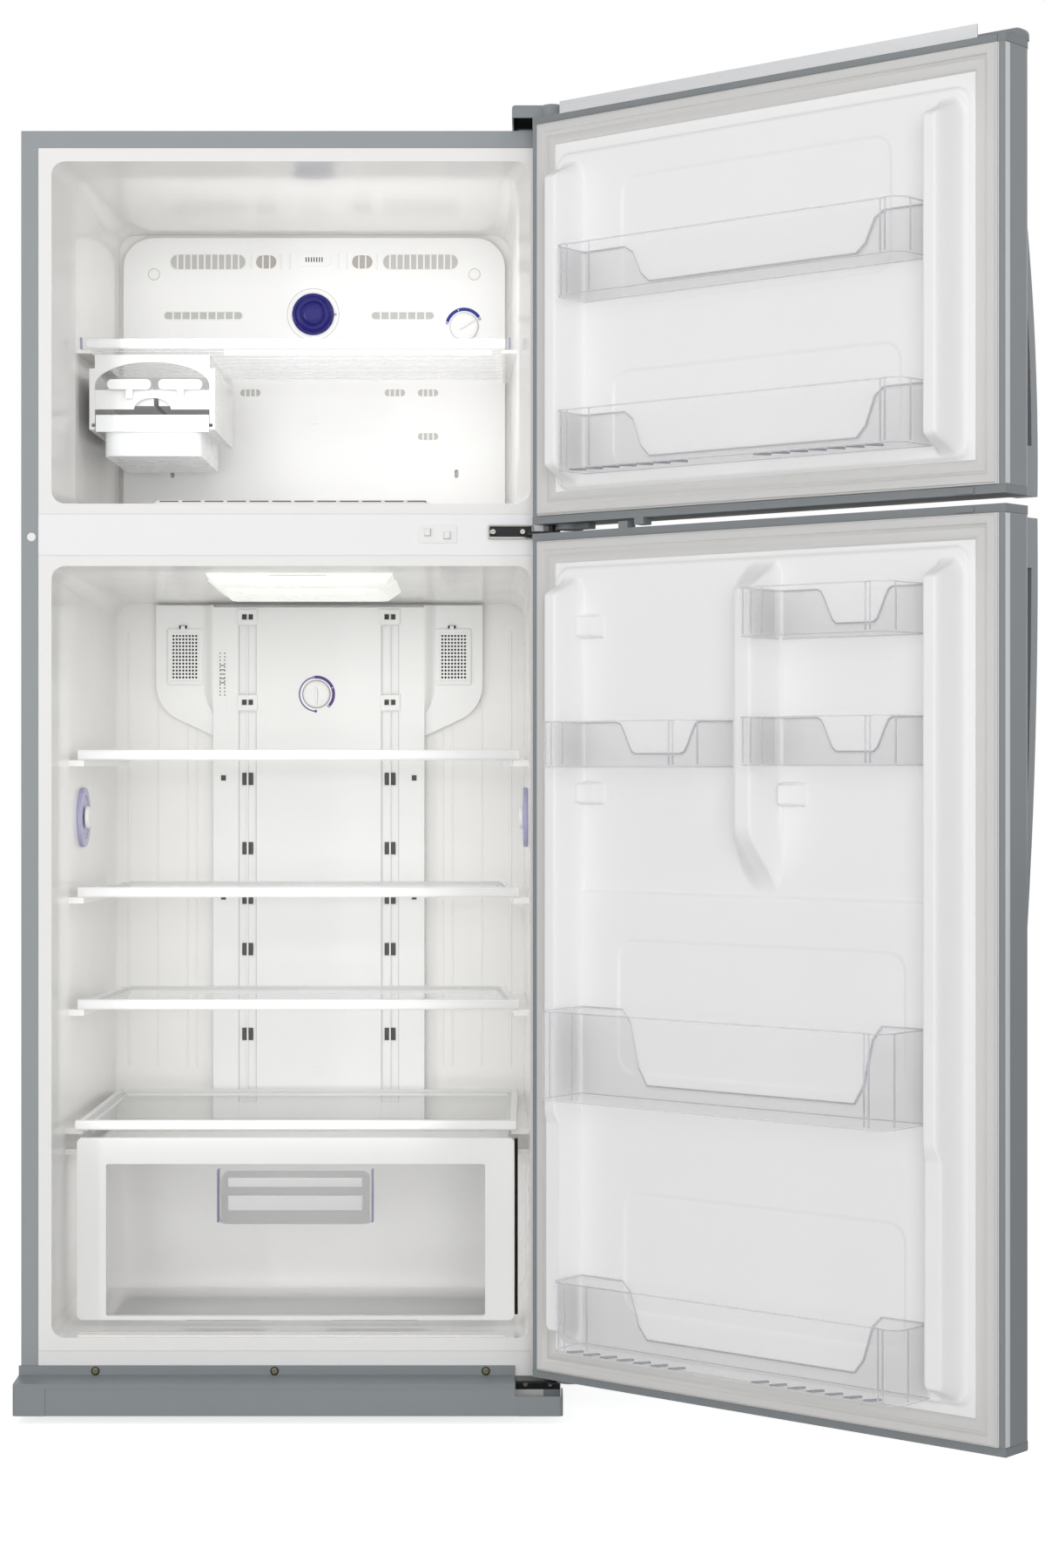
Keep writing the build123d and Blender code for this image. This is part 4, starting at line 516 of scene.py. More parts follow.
@dataclass
class Refiner:
    """Makes a softened copy of a CAD node that stands for it."""

    nodes: dict
    slots: dict[str, str]
    bodies: dict[str, str]

    def copy(self, node: str, finish: Finish, bevel: float, segments: int = 2) -> bpy.types.Object:
        """Merged copy of a node with rounded edges.

        Args:
            node: Name of the CAD node.
            finish: Finish of the copy.
            bevel: Width of its rounded edges in millimetres, 0 for none.
            segments: Steps across each rounded edge.
        """
        bm = bmesh.new()
        bm.from_mesh(self.nodes[node].data)
        bmesh.ops.remove_doubles(bm, verts=bm.verts, dist=3e-6)
        bmesh.ops.dissolve_limit(bm, angle_limit=math.radians(0.6), verts=bm.verts, edges=bm.edges,
                                 delimit={"NORMAL"})
        soften(bm, bevel, segments, 34.0, 44.0)
        for face in bm.faces:
            face.material_index = 0
        mesh = bpy.data.meshes.new(node + "_softened")
        bm.to_mesh(mesh)
        bm.free()
        mesh.materials.append(finish.material())
        obj = placed(node + "_softened", mesh)
        obj.modifiers.new("even_shading", "WEIGHTED_NORMAL").keep_sharp = True
        return baked(obj)

    def stand_in(self, node: str, finish: Finish, bevel: float, segments: int = 2,
                 extra: list[bpy.types.Object] | None = None) -> None:
        """Softened copy, joined with extra details, that rides and stands for the node."""
        obj = self.copy(node, finish, bevel, segments)
        if extra:
            obj = joined(node + "_detailed", [obj] + extra)
        report(obj, self.bodies[node], self.slots[node], node)


def rounded_outline(wiring: Wiring, width: object, height: object, corner: object) -> bpy.types.NodeSocket:
    """Curve of a rectangle with rounded corners."""
    outline = wiring.add("GeometryNodeCurvePrimitiveQuadrilateral", {"Width": width, "Height": height})
    return wiring.add("GeometryNodeFilletCurve", {"Curve": outline[0], "Radius": corner, "Count": 3,
                                                  "Limit Radius": True}, mode="POLY")[0]


@cache
def sheet_tree() -> bpy.types.NodeTree:
    """Geometry Nodes of a flat sheet: an outline and a grid of rounded holes, filled and thickened."""
    sizes = {"Width": 0.06, "Height": 0.09, "Corner": 0.004, "Column Pitch": 0.0055, "Row Pitch": 0.0057,
             "Hole Width": 0.003, "Hole Height": 0.003, "Thickness": 0.001}
    wiring = Wiring.group("perforated_sheet", "GeometryNodeTree",
                          {key: ("Float", value) for key, value in sizes.items()}
                          | {"Columns": ("Int", 8), "Rows": ("Int", 13), "Finish": ("Material", None)},
                          {"Geometry": "Geometry"})
    start = wiring.add("NodeGroupInput")
    across, up = (wiring.maths("MULTIPLY", wiring.maths("SUBTRACT", start[count], 1.0), start[pitch])
                  for count, pitch in (("Columns", "Column Pitch"), ("Rows", "Row Pitch")))
    grid = wiring.add("GeometryNodeMeshGrid", {"Size X": across, "Size Y": up, "Vertices X": start["Columns"],
                                               "Vertices Y": start["Rows"]})
    narrow = wiring.maths("MINIMUM", start["Hole Width"], start["Hole Height"])
    hole = rounded_outline(wiring, start["Hole Width"], start["Hole Height"],
                           wiring.maths("MULTIPLY", narrow, 0.495))
    frame = rounded_outline(wiring, start["Width"], start["Height"], start["Corner"])
    spread = wiring.add("GeometryNodeInstanceOnPoints", {"Points": grid["Mesh"], "Instance": hole})
    plain = wiring.add("GeometryNodeRealizeInstances", {"Geometry": spread[0]})
    both = wiring.add("GeometryNodeJoinGeometry", {"Geometry": [plain[0], frame]})
    fill = wiring.add("GeometryNodeFillCurve", {"Curve": both[0]})
    raised = wiring.add("GeometryNodeExtrudeMesh", {"Mesh": fill[0], "Offset Scale": start["Thickness"],
                                                    "Individual": False})
    back = wiring.add("GeometryNodeFlipFaces", {"Mesh": fill[0]})
    whole = wiring.add("GeometryNodeJoinGeometry", {"Geometry": [raised[0], back[0]]})
    weld = wiring.add("GeometryNodeMergeByDistance", {"Geometry": whole[0], "Distance": 1e-6})
    turn = wiring.add("GeometryNodeTransform", {"Geometry": weld[0], "Rotation": (math.pi / 2, 0, 0)})
    wiring.painted(turn[0], start["Finish"])
    return wiring.tree


def sheet(name: str, finish: Finish, at: Point, **sizes: float) -> bpy.types.Object:
    """A perforated sheet.

    Args:
        name: Name of the piece.
        finish: Its finish.
        at: Middle of the sheet's back face.
        sizes: Values in millimetres by input name, underscores for spaces.
    """
    obj = modified(placed(name, bpy.data.meshes.new(name)), sheet_tree(), finish, **sizes)
    obj.data.transform(Matrix.Translation(Vector(at) * MM))
    return obj


@cache
def screw_tree() -> bpy.types.NodeTree:
    """Geometry Nodes of screws: a domed head less two crossed blades, one on each place."""
    sizes = {"Radius": ("Float", 0.0048), "Height": ("Float", 0.0022), "Blade": ("Float", 0.0011)}
    wiring = Wiring.group("screw_heads", "GeometryNodeTree",
                          {"Places": ("Geometry", None)} | sizes
                          | {"Seed": ("Int", 7), "Finish": ("Material", None)}, {"Geometry": "Geometry"})
    start = wiring.add("NodeGroupInput")
    radius, height = start["Radius"], start["Height"]
    head = wiring.add("GeometryNodeMeshCone", {
        "Radius Top": wiring.maths("MULTIPLY", radius, 0.72), "Radius Bottom": radius, "Depth": height,
        "Vertices": 28, "Side Segments": 1})
    blades = []
    for along, across in (("X", "Y"), ("Y", "X")):
        size = wiring.add("ShaderNodeCombineXYZ", {along: radius, across: start["Blade"], "Z": height})
        box = wiring.add("GeometryNodeMeshCube", {"Size": size[0]})
        up = wiring.add("ShaderNodeCombineXYZ", {"Z": height})
        blades.append(wiring.add("GeometryNodeTransform", {"Geometry": box["Mesh"], "Translation": up[0]})[0])
    cross = wiring.add("GeometryNodeMeshBoolean", {"Mesh 1": head["Mesh"], "Mesh 2": blades},
                       operation="DIFFERENCE")
    face = wiring.add("GeometryNodeTransform", {"Geometry": cross["Mesh"], "Rotation": (math.pi / 2, 0, 0)})
    turn = wiring.add("FunctionNodeRandomValue", {0: (0, -0.7, 0), 1: (0, 0.7, 0), "Seed": start["Seed"]},
                      data_type="FLOAT_VECTOR")
    spread = wiring.add("GeometryNodeInstanceOnPoints", {
        "Points": start["Places"], "Instance": face[0], "Rotation": turn[0]})
    wiring.painted(spread[0], start["Finish"])
    return wiring.tree


def screw_row(name: str, finish: Finish, places: list[Point]) -> bpy.types.Object:
    """One screw head in front of each place, in millimetres."""
    mesh = bpy.data.meshes.new(name)
    mesh.from_pydata([(x * MM, y * MM, z * MM) for x, y, z in places], [], [])
    obj = modified(placed(name, mesh), screw_tree(), finish)
    for polygon in obj.data.polygons:
        polygon.use_smooth = False
    return obj


def opened() -> Matrix:
    """The turn that takes a closed door's pieces to the open rest."""
    pin = Vector((PIN_X * MM, PIN_Y * MM, 0))
    return Matrix.Translation(pin) @ Matrix.Rotation(OPEN_ANGLE, 4, "Z") @ Matrix.Translation(-pin)


def report(obj: bpy.types.Object, body: str, slot: str, *nodes: str) -> None:
    """Puts a piece on its body and hides the CAD nodes that it stands for."""
    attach(obj, body)
    if nodes:
        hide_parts(*nodes)
    LOG.info("%s rides on %s, %d faces", obj.name, body, len(obj.data.polygons))


@dataclass
class Door:
    """One door: its moulded liner and gasket, made closed and swung open."""

    body: str
    low: float
    high: float
    open_low: float
    open_high: float
    ribbed: bool = False
    width: float = 770.0
    back: float = -8.0
    cap: float = 11.0
    margin: float = 10.0
    half_open: float = 341.8

    def recesses(self) -> list[tuple[float, float, float, float]]:
        """Shallow pressed outlines in the liner's field."""
        if self.ribbed:
            return [(-246, 221, 508, 690), (-246, 210, 182, 345), (46, 230, 873, 960), (-251, -100, 874, 960)]
        return [(-221, 219, 1560, 1736), (-236, 234, 1338, 1470)]

    def clips(self) -> list[Pair]:
        """Where the moulded clips of unused bin places stand on the liner."""
        if self.ribbed:
            return [(277.0, 1120.0), (277.0, 890.0), (-64.0, 890.0)]
        return []

    def height(self, x: np.ndarray, z: np.ndarray) -> np.ndarray:
        """How far the liner stands off the door's back plane at each point."""
        z0, z1 = self.open_low + 10.0, self.open_high - 7.5
        half = self.half_open
        edge = rounded_distance(x, z, (-half + 2, half - 2, z0 - 1, z1 + 1), 24)
        field = self.back + 8.0 * (1 - smooth(edge, -6.0, 0.0))
        level = field.copy()
        side = np.abs(x)
        lower = ramp(z, 452, 432) if self.ribbed else np.zeros_like(z)
        across = np.maximum(np.abs(side - 308.5) - 7.5, 0.0) / 17.0
        along = np.maximum(np.maximum(z0 + 34 - z, z - (z1 - 44)), 0.0) / 30.0
        dyke = 48.0 * (1 - smooth(np.hypot(across, along), 0.0, 1.0))
        level = np.maximum(level, field + np.minimum(dyke, 48.0 - 8.0 * lower))
        if self.ribbed:
            step = 5.0 * (1 - smooth(z, 752, 757)) * smooth(rounded_distance(
                x, z, (-300, 300, z0, 757), 12), 0.0, -4.0)
            level = np.maximum(level, field + step)
            across = np.maximum(np.maximum((-40 - x) / 13.0, (x + 20) / 48.0), 0.0)
            along = np.maximum(np.maximum((850 - z) / 92.0, (z - 1152) / (z1 - 1156)), 0.0)
            level = np.maximum(level, field + 60.0 * (1 - smooth(np.hypot(across, along), 0.0, 1.0)))
        for box in self.recesses():
            away = rounded_distance(x, z, box, 26)
            level = level - 1.6 * smooth(away, 1.5, -2.5) * (level < 12)
        for cx, cz in self.clips():
            pad = rounded_distance(x, z, (cx - 21, cx + 13, cz - 15, cz + 15), 4)
            level = np.maximum(level, field + 14.0 * smooth(pad, 1.0, -2.0))
        return level

    def make_liner(self) -> bpy.types.Object:
        """Height field over the door's back, closed behind."""
        half = self.width / 2 - self.margin + 0.7
        low, high = self.low + self.cap + 0.3, self.high - self.cap - 0.3
        z0, z1 = self.open_low + 10.0, self.open_high - 7.5
        dense_x = [(-345, -284, 1.8), (284, 345, 1.8)]
        dense_z = [(z0 - 4, z0 + 36, 2.2), (z1 - 52, z1 + 4, 2.2)]
        for a, b, c, d in self.recesses():
            dense_x += [(v - 4, v + 4, 2.0) for v in (a, b)]
            dense_z += [(v - 4, v + 4, 2.0) for v in (c, d)]
            dense_x += [(a, a + 26, 3.4), (b - 26, b, 3.4)]
            dense_z += [(c, c + 26, 3.4), (d - 26, d, 3.4)]
        if self.ribbed:
            dense_x += [(-50, 26, 2.0), (262, 286, 2.0), (-79, -50, 2.4)]
            dense_z += [(428, 456, 2.5), (748, 850, 2.5), (1140, 1200, 2.5)]
            dense_z += [(v - 21, v + 21, 2.4) for v in (890, 1120)]
        xs = spaced(-half, half, 9.0, dense_x)
        zs = spaced(low, high, 9.0, dense_z)
        gx, gz = np.meshgrid(xs, zs)
        gy = self.height(gx, gz)
        shape = Shape()
        numbers = np.array(shape.add(list(zip(gx.ravel(), gy.ravel(), gz.ravel())))).reshape(gx.shape)
        quads = np.stack([numbers[:-1, :-1], numbers[:-1, 1:], numbers[1:, 1:], numbers[1:, :-1]], -1)
        shape.faces += quads.reshape(-1, 4).tolist()
        rim = np.concatenate([numbers[0, :], numbers[1:, -1], numbers[-1, -2::-1], numbers[-2:0:-1, 0]])
        behind = shape.add([(shape.points[i][0], self.back - 2, shape.points[i][2]) for i in rim])
        shape.join(rim.tolist(), behind)
        shape.faces.append(behind)
        return shape.object(self.body + "_moulded_liner", DOOR_LINER, angle=60, turned=opened())

    def make_gasket(self) -> bpy.types.Object:
        """Folded sealing profile round the door, mitred at its corners."""
        half = self.width / 2 - self.margin
        low, high = self.low + self.cap + 0.3, self.high - self.cap - 0.3
        section = [(0, 0), (0, 2.4), (0.7, 3.4), (1.6, 3.6), (2.2, 5.8), (3.2, 6.8), (4.6, 7.0), (11.0, 7.0),
                   (12.6, 6.7), (13.4, 5.8), (13.8, 4.4), (14.8, 3.9), (16.2, 3.9), (17.0, 2.9), (18.0, 2.5),
                   (19.0, 2.9), (19.8, 3.5), (28.0, 3.5), (29.6, 3.2), (31.2, 2.2), (32.0, 1.2), (32.0, 0)]
        rings = []
        for u, h in section:
            x, a, b = half - u, low + u, high - u
            y = self.back + h
            rings.append([(-x, y, a), (x, y, a), (x, y, b), (-x, y, b)])
        shape = Shape()
        shape.loft(rings, ends=False)
        return shape.object(self.body + "_folded_gasket", GASKET, angle=50, turned=opened())

    def make(self) -> None:
        """Makes and reports the door's pieces."""
        report(self.make_liner(), self.body, "white_liner", self.body + "_liner", self.body + "_foam")
        report(self.make_gasket(), self.body, "gasket_rubber", self.body + "_gasket")


@dataclass
class DoorBin:
    """Clear moulded tray that hangs between the dykes of a door."""

    name: str
    x: Pair
    y: Pair
    z: Pair
    wall: float = 2.5
    corner: float = 24.0
    set_back: float = 3.0
    dip_from: float = 76.0
    dip_run: float = 34.0
    slots: bool = False

    def outline(self, inset: float) -> list[Pair]:
        """Plan of the tray, anticlockwise from the back left corner, moved in by an inset."""
        x0, x1 = self.x[0] + inset, self.x[1] - inset
        y0, y1 = self.y[0] + inset, self.y[1] - inset
        r = self.corner - inset
        points = [(x0 + (x1 - x0) * k / 40, y0) for k in range(41)]
        points += [(x1, y0 + (y1 - r - y0) * k / 4) for k in range(1, 5)]
        points += [(x1 - r + r * math.cos(a), y1 - r + r * math.sin(a))
                   for a in (math.pi / 2 * k / 10 for k in range(1, 11))]
        flat = y1 - self.set_back
        points += [(x1 - r - 3 * k, y1 - self.set_back * k / 3) for k in (1, 2, 3)]
        points += [(x1 - r - 9 - (x1 - x0 - 2 * r - 18) * k / 16, flat) for k in range(1, 17)]
        points += [(x0 + r + 9 - 3 * k, flat + self.set_back * k / 3) for k in (1, 2, 3)]
        points += [(x0 + r - r * math.sin(a), y1 - r + r * math.cos(a))
                   for a in (math.pi / 2 * k / 10 for k in range(1, 11))]
        points += [(x0, y1 - r + (y0 - y1 + r) * k / 4) for k in range(1, 4)]
        return points

    def top_at(self, x: float, y: float) -> float:
        """Height of the wall at a point of the plan: the back wall dips in the middle."""
        if y > self.y[0] + self.wall + 1:
            return self.z[1]
        inside = min(x - self.x[0], self.x[1] - x)
        t = min(1.0, max(0.0, (inside - self.dip_from) / self.dip_run))
        return self.z[1] - (self.z[1] - self.z[0] - 20) * t * t * (3 - 2 * t)

    def make(self) -> bpy.types.Object:
        """Shell with a thin floor, a rolled rim and a softened bottom edge."""
        low = self.z[0]
        outer, inner = self.outline(0), self.outline(self.wall)
        tops = [self.top_at(x, y) for x, y in outer]
        shape = Shape()
        rows = []
        for inset, lift in ((4.0, 0.0), (1.6, 0.5), (0.5, 2.0), (0.0, 5.0)):
            rows.append([(x, y, low + lift) for x, y in self.outline(inset)])
        for row, down in ((outer, 4.0), (outer, 0.0), (inner, 0.0)):
            rows.append([(x, y, t - down) for (x, y), t in zip(row, tops)])
        rows.append([(x, y, low + 5.0) for x, y in inner])
        rows.append([(x, y, low + self.wall) for x, y in self.outline(self.wall + 2.0)])
        shape.loft(rows)
        tray = shape.object(self.name, CLEAR, angle=40, turned=opened())
        return joined(self.name, [tray, self.lines(outer, tops)] + self.floor_marks())

    def lines(self, outer: list[Pair], tops: list[float]) -> bpy.types.Object:
        """Grey lines along the clear plastic's rolled rim, foot and upright corners: the thicker rim, with
        painted shade and reflection of its edges seen side-on.
        """
        low = self.z[0]
        rims = Shape()
        inner = self.outline(self.wall)
        foot = self.outline(1.0)
        within = self.outline(self.wall + 0.15)
        rims.loft([[(x, y, t + up) for (x, y), t in zip(row, tops)]
                   for row, up in ((outer, -1.6), (outer, 0.25), (within, 0.25), (within, -1.6))], ends=False)
        rims.loft([[(x, y, low + 2.2) for x, y in foot], [(x, y, low + 0.8) for x, y in self.outline(0.5)],
                   [(x, y, low + 1.6) for x, y in inner]], ends=False)
        count = len(outer)
        for k in (45, 55, 58, count - 17, count - 14, count - 4):
            (x, y), t = foot[k], tops[k]
            rims.block((x - 0.9, x + 0.9), (y - 0.9, y + 0.9), (low + 4, t - 1))
        return rims.object(self.name + "_lines", CLEAR_RIM, angle=40, turned=opened())

    def floor_marks(self) -> list[bpy.types.Object]:
        """Two groups of drain slots in the floor of a bottle bin, as grey marks of painted shade."""
        if not self.slots:
            return []
        made = Shape()
        y0, y1 = self.y[1] - 26, self.y[1] - 8
        for start in (self.x[0] + 42, self.x[1] - 42 - 6 * 29):
            for k in range(7):
                x = start + 29 * k
                made.loft([[(x, y0, z), (x + 4, y0, z), (x + 16, y1, z), (x + 12, y1, z)]
                           for z in (self.z[0] - 0.1, self.z[0] + 2.9)])
        return [made.object(self.name + "_slots", DRAIN_SHADE, turned=opened())]


@dataclass
class BinSet:
    """The clear bins of one door that stand for one CAD node."""

    body: str
    node: str
    bins: tuple[DoorBin, ...]

    def make(self) -> None:
        """Makes every bin, joins them into one piece and reports it."""
        whole = joined(self.node + "_moulded", [b.make() for b in self.bins])
        report(whole, self.body, "clear_plastic", self.node)


DOOR_BINS = (
    BinSet("freezer_door", "freezer_door_bins", (
        DoorBin("upper_bin", (-284, 284), (0.3, 74), (1569, 1640)),
        DoorBin("lower_bin", (-284, 284), (0.3, 74), (1331, 1414), slots=True))),
    BinSet("fridge_door", "fridge_door_small_bins", (
        DoorBin("top_bin", (-284, -49), (0.3, 107), (1093, 1158), dip_from=60, dip_run=28),
        DoorBin("right_bin", (-284, -49), (0.3, 107), (927, 991), dip_from=60, dip_run=28),
        DoorBin("left_bin", (25, 284), (0.3, 107), (925, 988), dip_from=60, dip_run=28))),
    BinSet("fridge_door", "fridge_door_wide_bins", (
        DoorBin("wide_bin", (-284, 284), (5.3, 110), (473, 595)),
        DoorBin("bottle_bin", (-284, 284), (5.3, 79), (127, 223), slots=True))),
)


def arc_band(name: str, finish: Finish, centre: Point, radii: Pair,
             sweep: Pair, lift: float = 0.25) -> bpy.types.Object:
    """Thin arc on a face that looks to the front: printed scales, the cap's seat and painted shade lines.

    Args:
        name: Name of the piece.
        finish: Its finish.
        centre: Middle of the arc, on the face.
        radii: Inner and outer radius.
        sweep: First and last angle in degrees, anticlockwise from the right.
        lift: Height off the face.
    """
    shape = Shape()
    steps = max(8, int(abs(sweep[1] - sweep[0]) / 5))
    x, y, z = centre
    rings = []
    for k in range(steps + 1):
        a = math.radians(sweep[0] + (sweep[1] - sweep[0]) * k / steps)
        c, t = math.cos(a), math.sin(a)
        inner, outer = radii
        rings.append([(x + inner * c, y, z + inner * t), (x + outer * c, y, z + outer * t),
                      (x + outer * c, y - lift, z + outer * t), (x + inner * c, y - lift, z + inner * t)])
    shape.loft(rings)
    return shape.object(name, finish)


def dots(name: str, finish: Finish, centre: Point, radius: float,
         angles: tuple[float, ...], size: float, lift: float = 0.3) -> bpy.types.Object:
    """Small round marks on a circle that looks to the front."""
    shape = Shape()
    x, y, z = centre
    for angle in angles:
        a = math.radians(angle)
        spot = (x + radius * math.cos(a), y, z + radius * math.sin(a))
        shape.disc(spot, [(size, 0.0), (size, -lift), (size * 0.6, -lift - 0.1)], sides=16)
    return shape.object(name, finish)


def knob(name: str, finish: Finish, centre: Point, radius: float, depth: float,
         pointer: float) -> bpy.types.Object:
    """Round control with a domed rim and a tapered grip bar that points at an angle in degrees."""
    shape = Shape()
    x, y, z = centre
    shape.disc(centre, [(radius, -0.3), (radius, -depth * 0.6), (radius - 0.8, -depth * 0.85),
                        (radius - 2.2, -depth), (radius - 6.0, -depth - 0.3), (1.0, -depth - 0.4)], sides=64)
    a = math.radians(pointer)
    c, t = math.cos(a), math.sin(a)
    rings = []
    for along, wide, high in ((-radius * 0.55, 1.2, 2.0), (-radius * 0.3, 3.0, 5.0), (0, 3.2, 6.2),
                              (radius * 0.45, 2.6, 5.2), (radius - 2.6, 1.5, 1.6)):
        px, pz = x + along * c, z + along * t
        rings.append([(px + wide * t, y - depth + 0.5, pz - wide * c),
                      (px - wide * t, y - depth + 0.5, pz + wide * c),
                      (px + wide * 0.5 * -t, y - depth - high, pz + wide * 0.5 * c),
                      (px - wide * 0.5 * -t, y - depth - high, pz - wide * 0.5 * c)])
    shape.loft(rings)
    return shape.object(name, finish, angle=50)


@dataclass
class Dresser:
    """Puts the right finish on every CAD node that stays in view."""

    nodes: dict
    slots: dict[str, str]

    def dress(self) -> None:
        """Assigns each node's finish to its material slots."""
        for name, obj in self.nodes.items():
            finish = {"base_frame": RAIL_WHITE}.get(name, SLOT_FINISHES[self.slots[name]])
            if not obj.material_slots:
                obj.data.materials.append(None)
            for slot in obj.material_slots:
                slot.link = "OBJECT"
                slot.material = finish.material()
            LOG.info("dressed %s with %s", name, finish.name)


@dataclass
class FreezerFittings:
    """Back panel, outlet cap, dial, clear shelf and ice maker of the freezer."""

    refiner: Refiner
    face: float = 460.0
    top: float = 1762.6
    wall: float = 2.5
    cap_at: Pair = (-1.7, 1641.5)
    dial_at: Pair = (237.0, 1622.0)

    def vent_backs(self) -> bpy.types.Object:
        """Pale grey plates close behind the vents' bars: a backing insert whose grey is painted shade of the
        openings.
        """
        depth = (self.face + 1.1, self.face + self.wall - 0.2)
        return boxes("vent_pockets", VENT_SHADE, [(x, depth, z) for x, z in (
            ((-231, -105), (1709, 1740)), ((105, 231), (1709, 1740)), ((-241, -110), (1630, 1649)),
            ((87, 193), (1630, 1649)), ((-121, -81), (1508, 1527)), ((107, 200), (1508, 1527)),
            ((160, 200), (1439, 1458)))])

    def skirt(self) -> bpy.types.Object:
        """Rebate behind the panel's edge that closes the gap to the liner."""
        y0, y1 = self.face + 8.0, self.face + 9.5
        return boxes("panel_skirt", WHITE_LINER, [
            ((-309.0, -290.0), (y0, y1), (1306.0, 1786.0)), ((284.0, 311.0), (y0, y1), (1306.0, 1786.0)),
            ((-300.0, 300.0), (y0 + 0.5, y1 + 0.5), (1735.0, 1788.0))])

    def rings(self) -> list[bpy.types.Object]:
        """Painted shade lines round the panel's two plugs and round the outlet cap."""
        made = [arc_band("plug_shade_line", SHADE_LINE, (x, self.face, 1704.8), (8.4, 9.3), (0, 360), 0.2)
                for x in (-253.3, 253.3)]
        cap = (self.cap_at[0], self.face, self.cap_at[1])
        return made + [arc_band("cap_shade_line", SHADE_LINE, cap, (40.4, 41.2), (0, 360), 0.2)]

    def round_backs(self) -> bpy.types.Object:
        """Darker plates of painted shade behind the two round vents and two small holes."""
        depth = (self.face + 3.6, self.face + 4.4)
        return boxes("round_vent_backs", WARM_SHADE, [(x, depth, z) for x, z in (
            ((-96, -56), (1710, 1739)), ((56, 96), (1710, 1739)), ((-228, -220), (1382, 1398)),
            ((221, 229), (1382, 1398)))])

    def trims(self) -> list[bpy.types.Object]:
        """Raised lips round the openings, guide ribs and the small grille, with painted shade behind its slots.
        """
        lips = Shape()
        for x0, x1, z0, z1 in ((-229, -107, 1711, 1738), (107, 229, 1711, 1738), (-239, -112, 1632, 1647),
                               (89, 191, 1632, 1647)):
            lips.loft(frame_rings((x0, x1), (z0, z1), (z1 - z0) / 2 - 0.1, 1.6, self.face, 0.5), ends=False)
        for x in (-99.0, -52.0, -38.0, 38.0, 52.0, 99.0):
            lips.block((x - 0.7, x + 0.7), (self.face - 2.4, self.face + 0.5), (1713, 1737))
        ring = lips.object("vent_lips", WHITE_PLASTIC, bevel=0.3, segments=2)
        dark = sheet("small_grille", WHITE_PLASTIC, (0, self.face - 2.0, 1727.6), width=42, height=17, corner=6,
                           columns=7, rows=1, column_pitch=4.2, row_pitch=0.0, hole_width=2.0, hole_height=8.0,
                           thickness=1.2)
        behind = boxes("grille_painted_shade", SLOT_SHADE, [
            ((-16, 16), (self.face - 2.05, self.face - 1.9), (1722, 1733))])
        return [ring, dark, behind]

    def make_cap(self) -> None:
        """Glossy round outlet cap with stepped rings, in a thin white seat."""
        x, z = self.cap_at
        shape = Shape()
        shape.disc((x, self.face, z), [
            (33.0, 0.0), (33.0, -3.6), (32.2, -5.4), (30.4, -6.4), (28.6, -6.2), (27.4, -4.6),
            (26.6, -4.2), (25.6, -4.2), (25.0, -6.4), (23.6, -7.2), (20.8, -7.4), (19.6, -6.6),
            (19.0, -5.2), (17.6, -5.0), (17.0, -6.8),
            (15.6, -7.9), (12.0, -8.6), (8.0, -8.9), (3.0, -9.0)], sides=96)
        for k in range(4):
            a = math.radians(45 + 90 * k)
            cx, cz = x + 29.4 * math.cos(a), z + 29.4 * math.sin(a)
            shape.block((cx - 1.1, cx + 1.1), (self.face - 7.0, self.face - 5.5), (cz - 1.1, cz + 1.1))
        cap = shape.object("outlet_cap_body", BLUE, angle=40)
        seat = arc_band("outlet_cap_seat", WHITE_PLASTIC, (x, self.face, z), (33.4, 37.0), (0, 360), 0.9)
        whole = joined("outlet_cap_ringed", [cap, seat])
        report(whole, "cabinet", "blue_plastic", "air_outlet_cap")

    def make_dial(self) -> None:
        """Freezer control with its printed scale arc."""
        x, z = self.dial_at
        centre = (x, self.face, z)
        report(knob("freezer_dial_knob", WHITE_PLASTIC, centre, 22.0, 6.0, 28.0), "freezer_dial", "white_plastic",
               "freezer_dial")
        scale = [arc_band("freezer_scale", PRINT_NAVY, centre, (25.0, 30.2), (163, 33)),
                 dots("freezer_scale_marks", PRINT_NAVY, centre, 27.5, (168, 109, 27), 2.2),
                 dots("freezer_scale_eyes", WHITE_PLASTIC, centre, 27.5, (168, 109, 27), 1.1, 0.5),
                 arc_band("freezer_dial_gap_shade", SHADE_LINE, centre, (22.3, 22.9), (0, 360), 0.15)]
        whole = joined("freezer_dial_scale", scale)
        report(whole, "cabinet", "blue_plastic")

    def make_shelf(self) -> None:
        """Clear shelf with a thick rounded front and fine ribs underneath."""
        low, front = 1536.0, 84.0
        ribs = [((-296, 296), (y - 0.7, y + 0.7), (low - 1.2, low + 0.2))
                for y in (front + 34 + k * 38.0 for k in range(9))]
        ribs += [((-105, 286), (front + y - 0.6, front + y + 0.6), (low - 9.0, low)) for y in (9.5, 14.0)]
        bar = ((-306, 306), (front - 2.4, front + 5.5), (low - 0.4, low + 13.6))
        ends = [((x, x + 3.0), (front - 3.4, front + 7.4), (low - 1.6, low + 15.2)) for x in (-313.4, 310.4)]
        parts = [self.refiner.copy("freezer_shelf", CLEAR, 1.0, 2), boxes("shelf_ribs", RIBBED, ribs),
                 boxes("shelf_bar", MILKY, [bar], bevel=3.2, segments=4),
                 boxes("shelf_ends", TINTED, ends, bevel=1.2)]
        report(joined("freezer_shelf_clear", parts), "cabinet", "clear_plastic", "freezer_shelf")

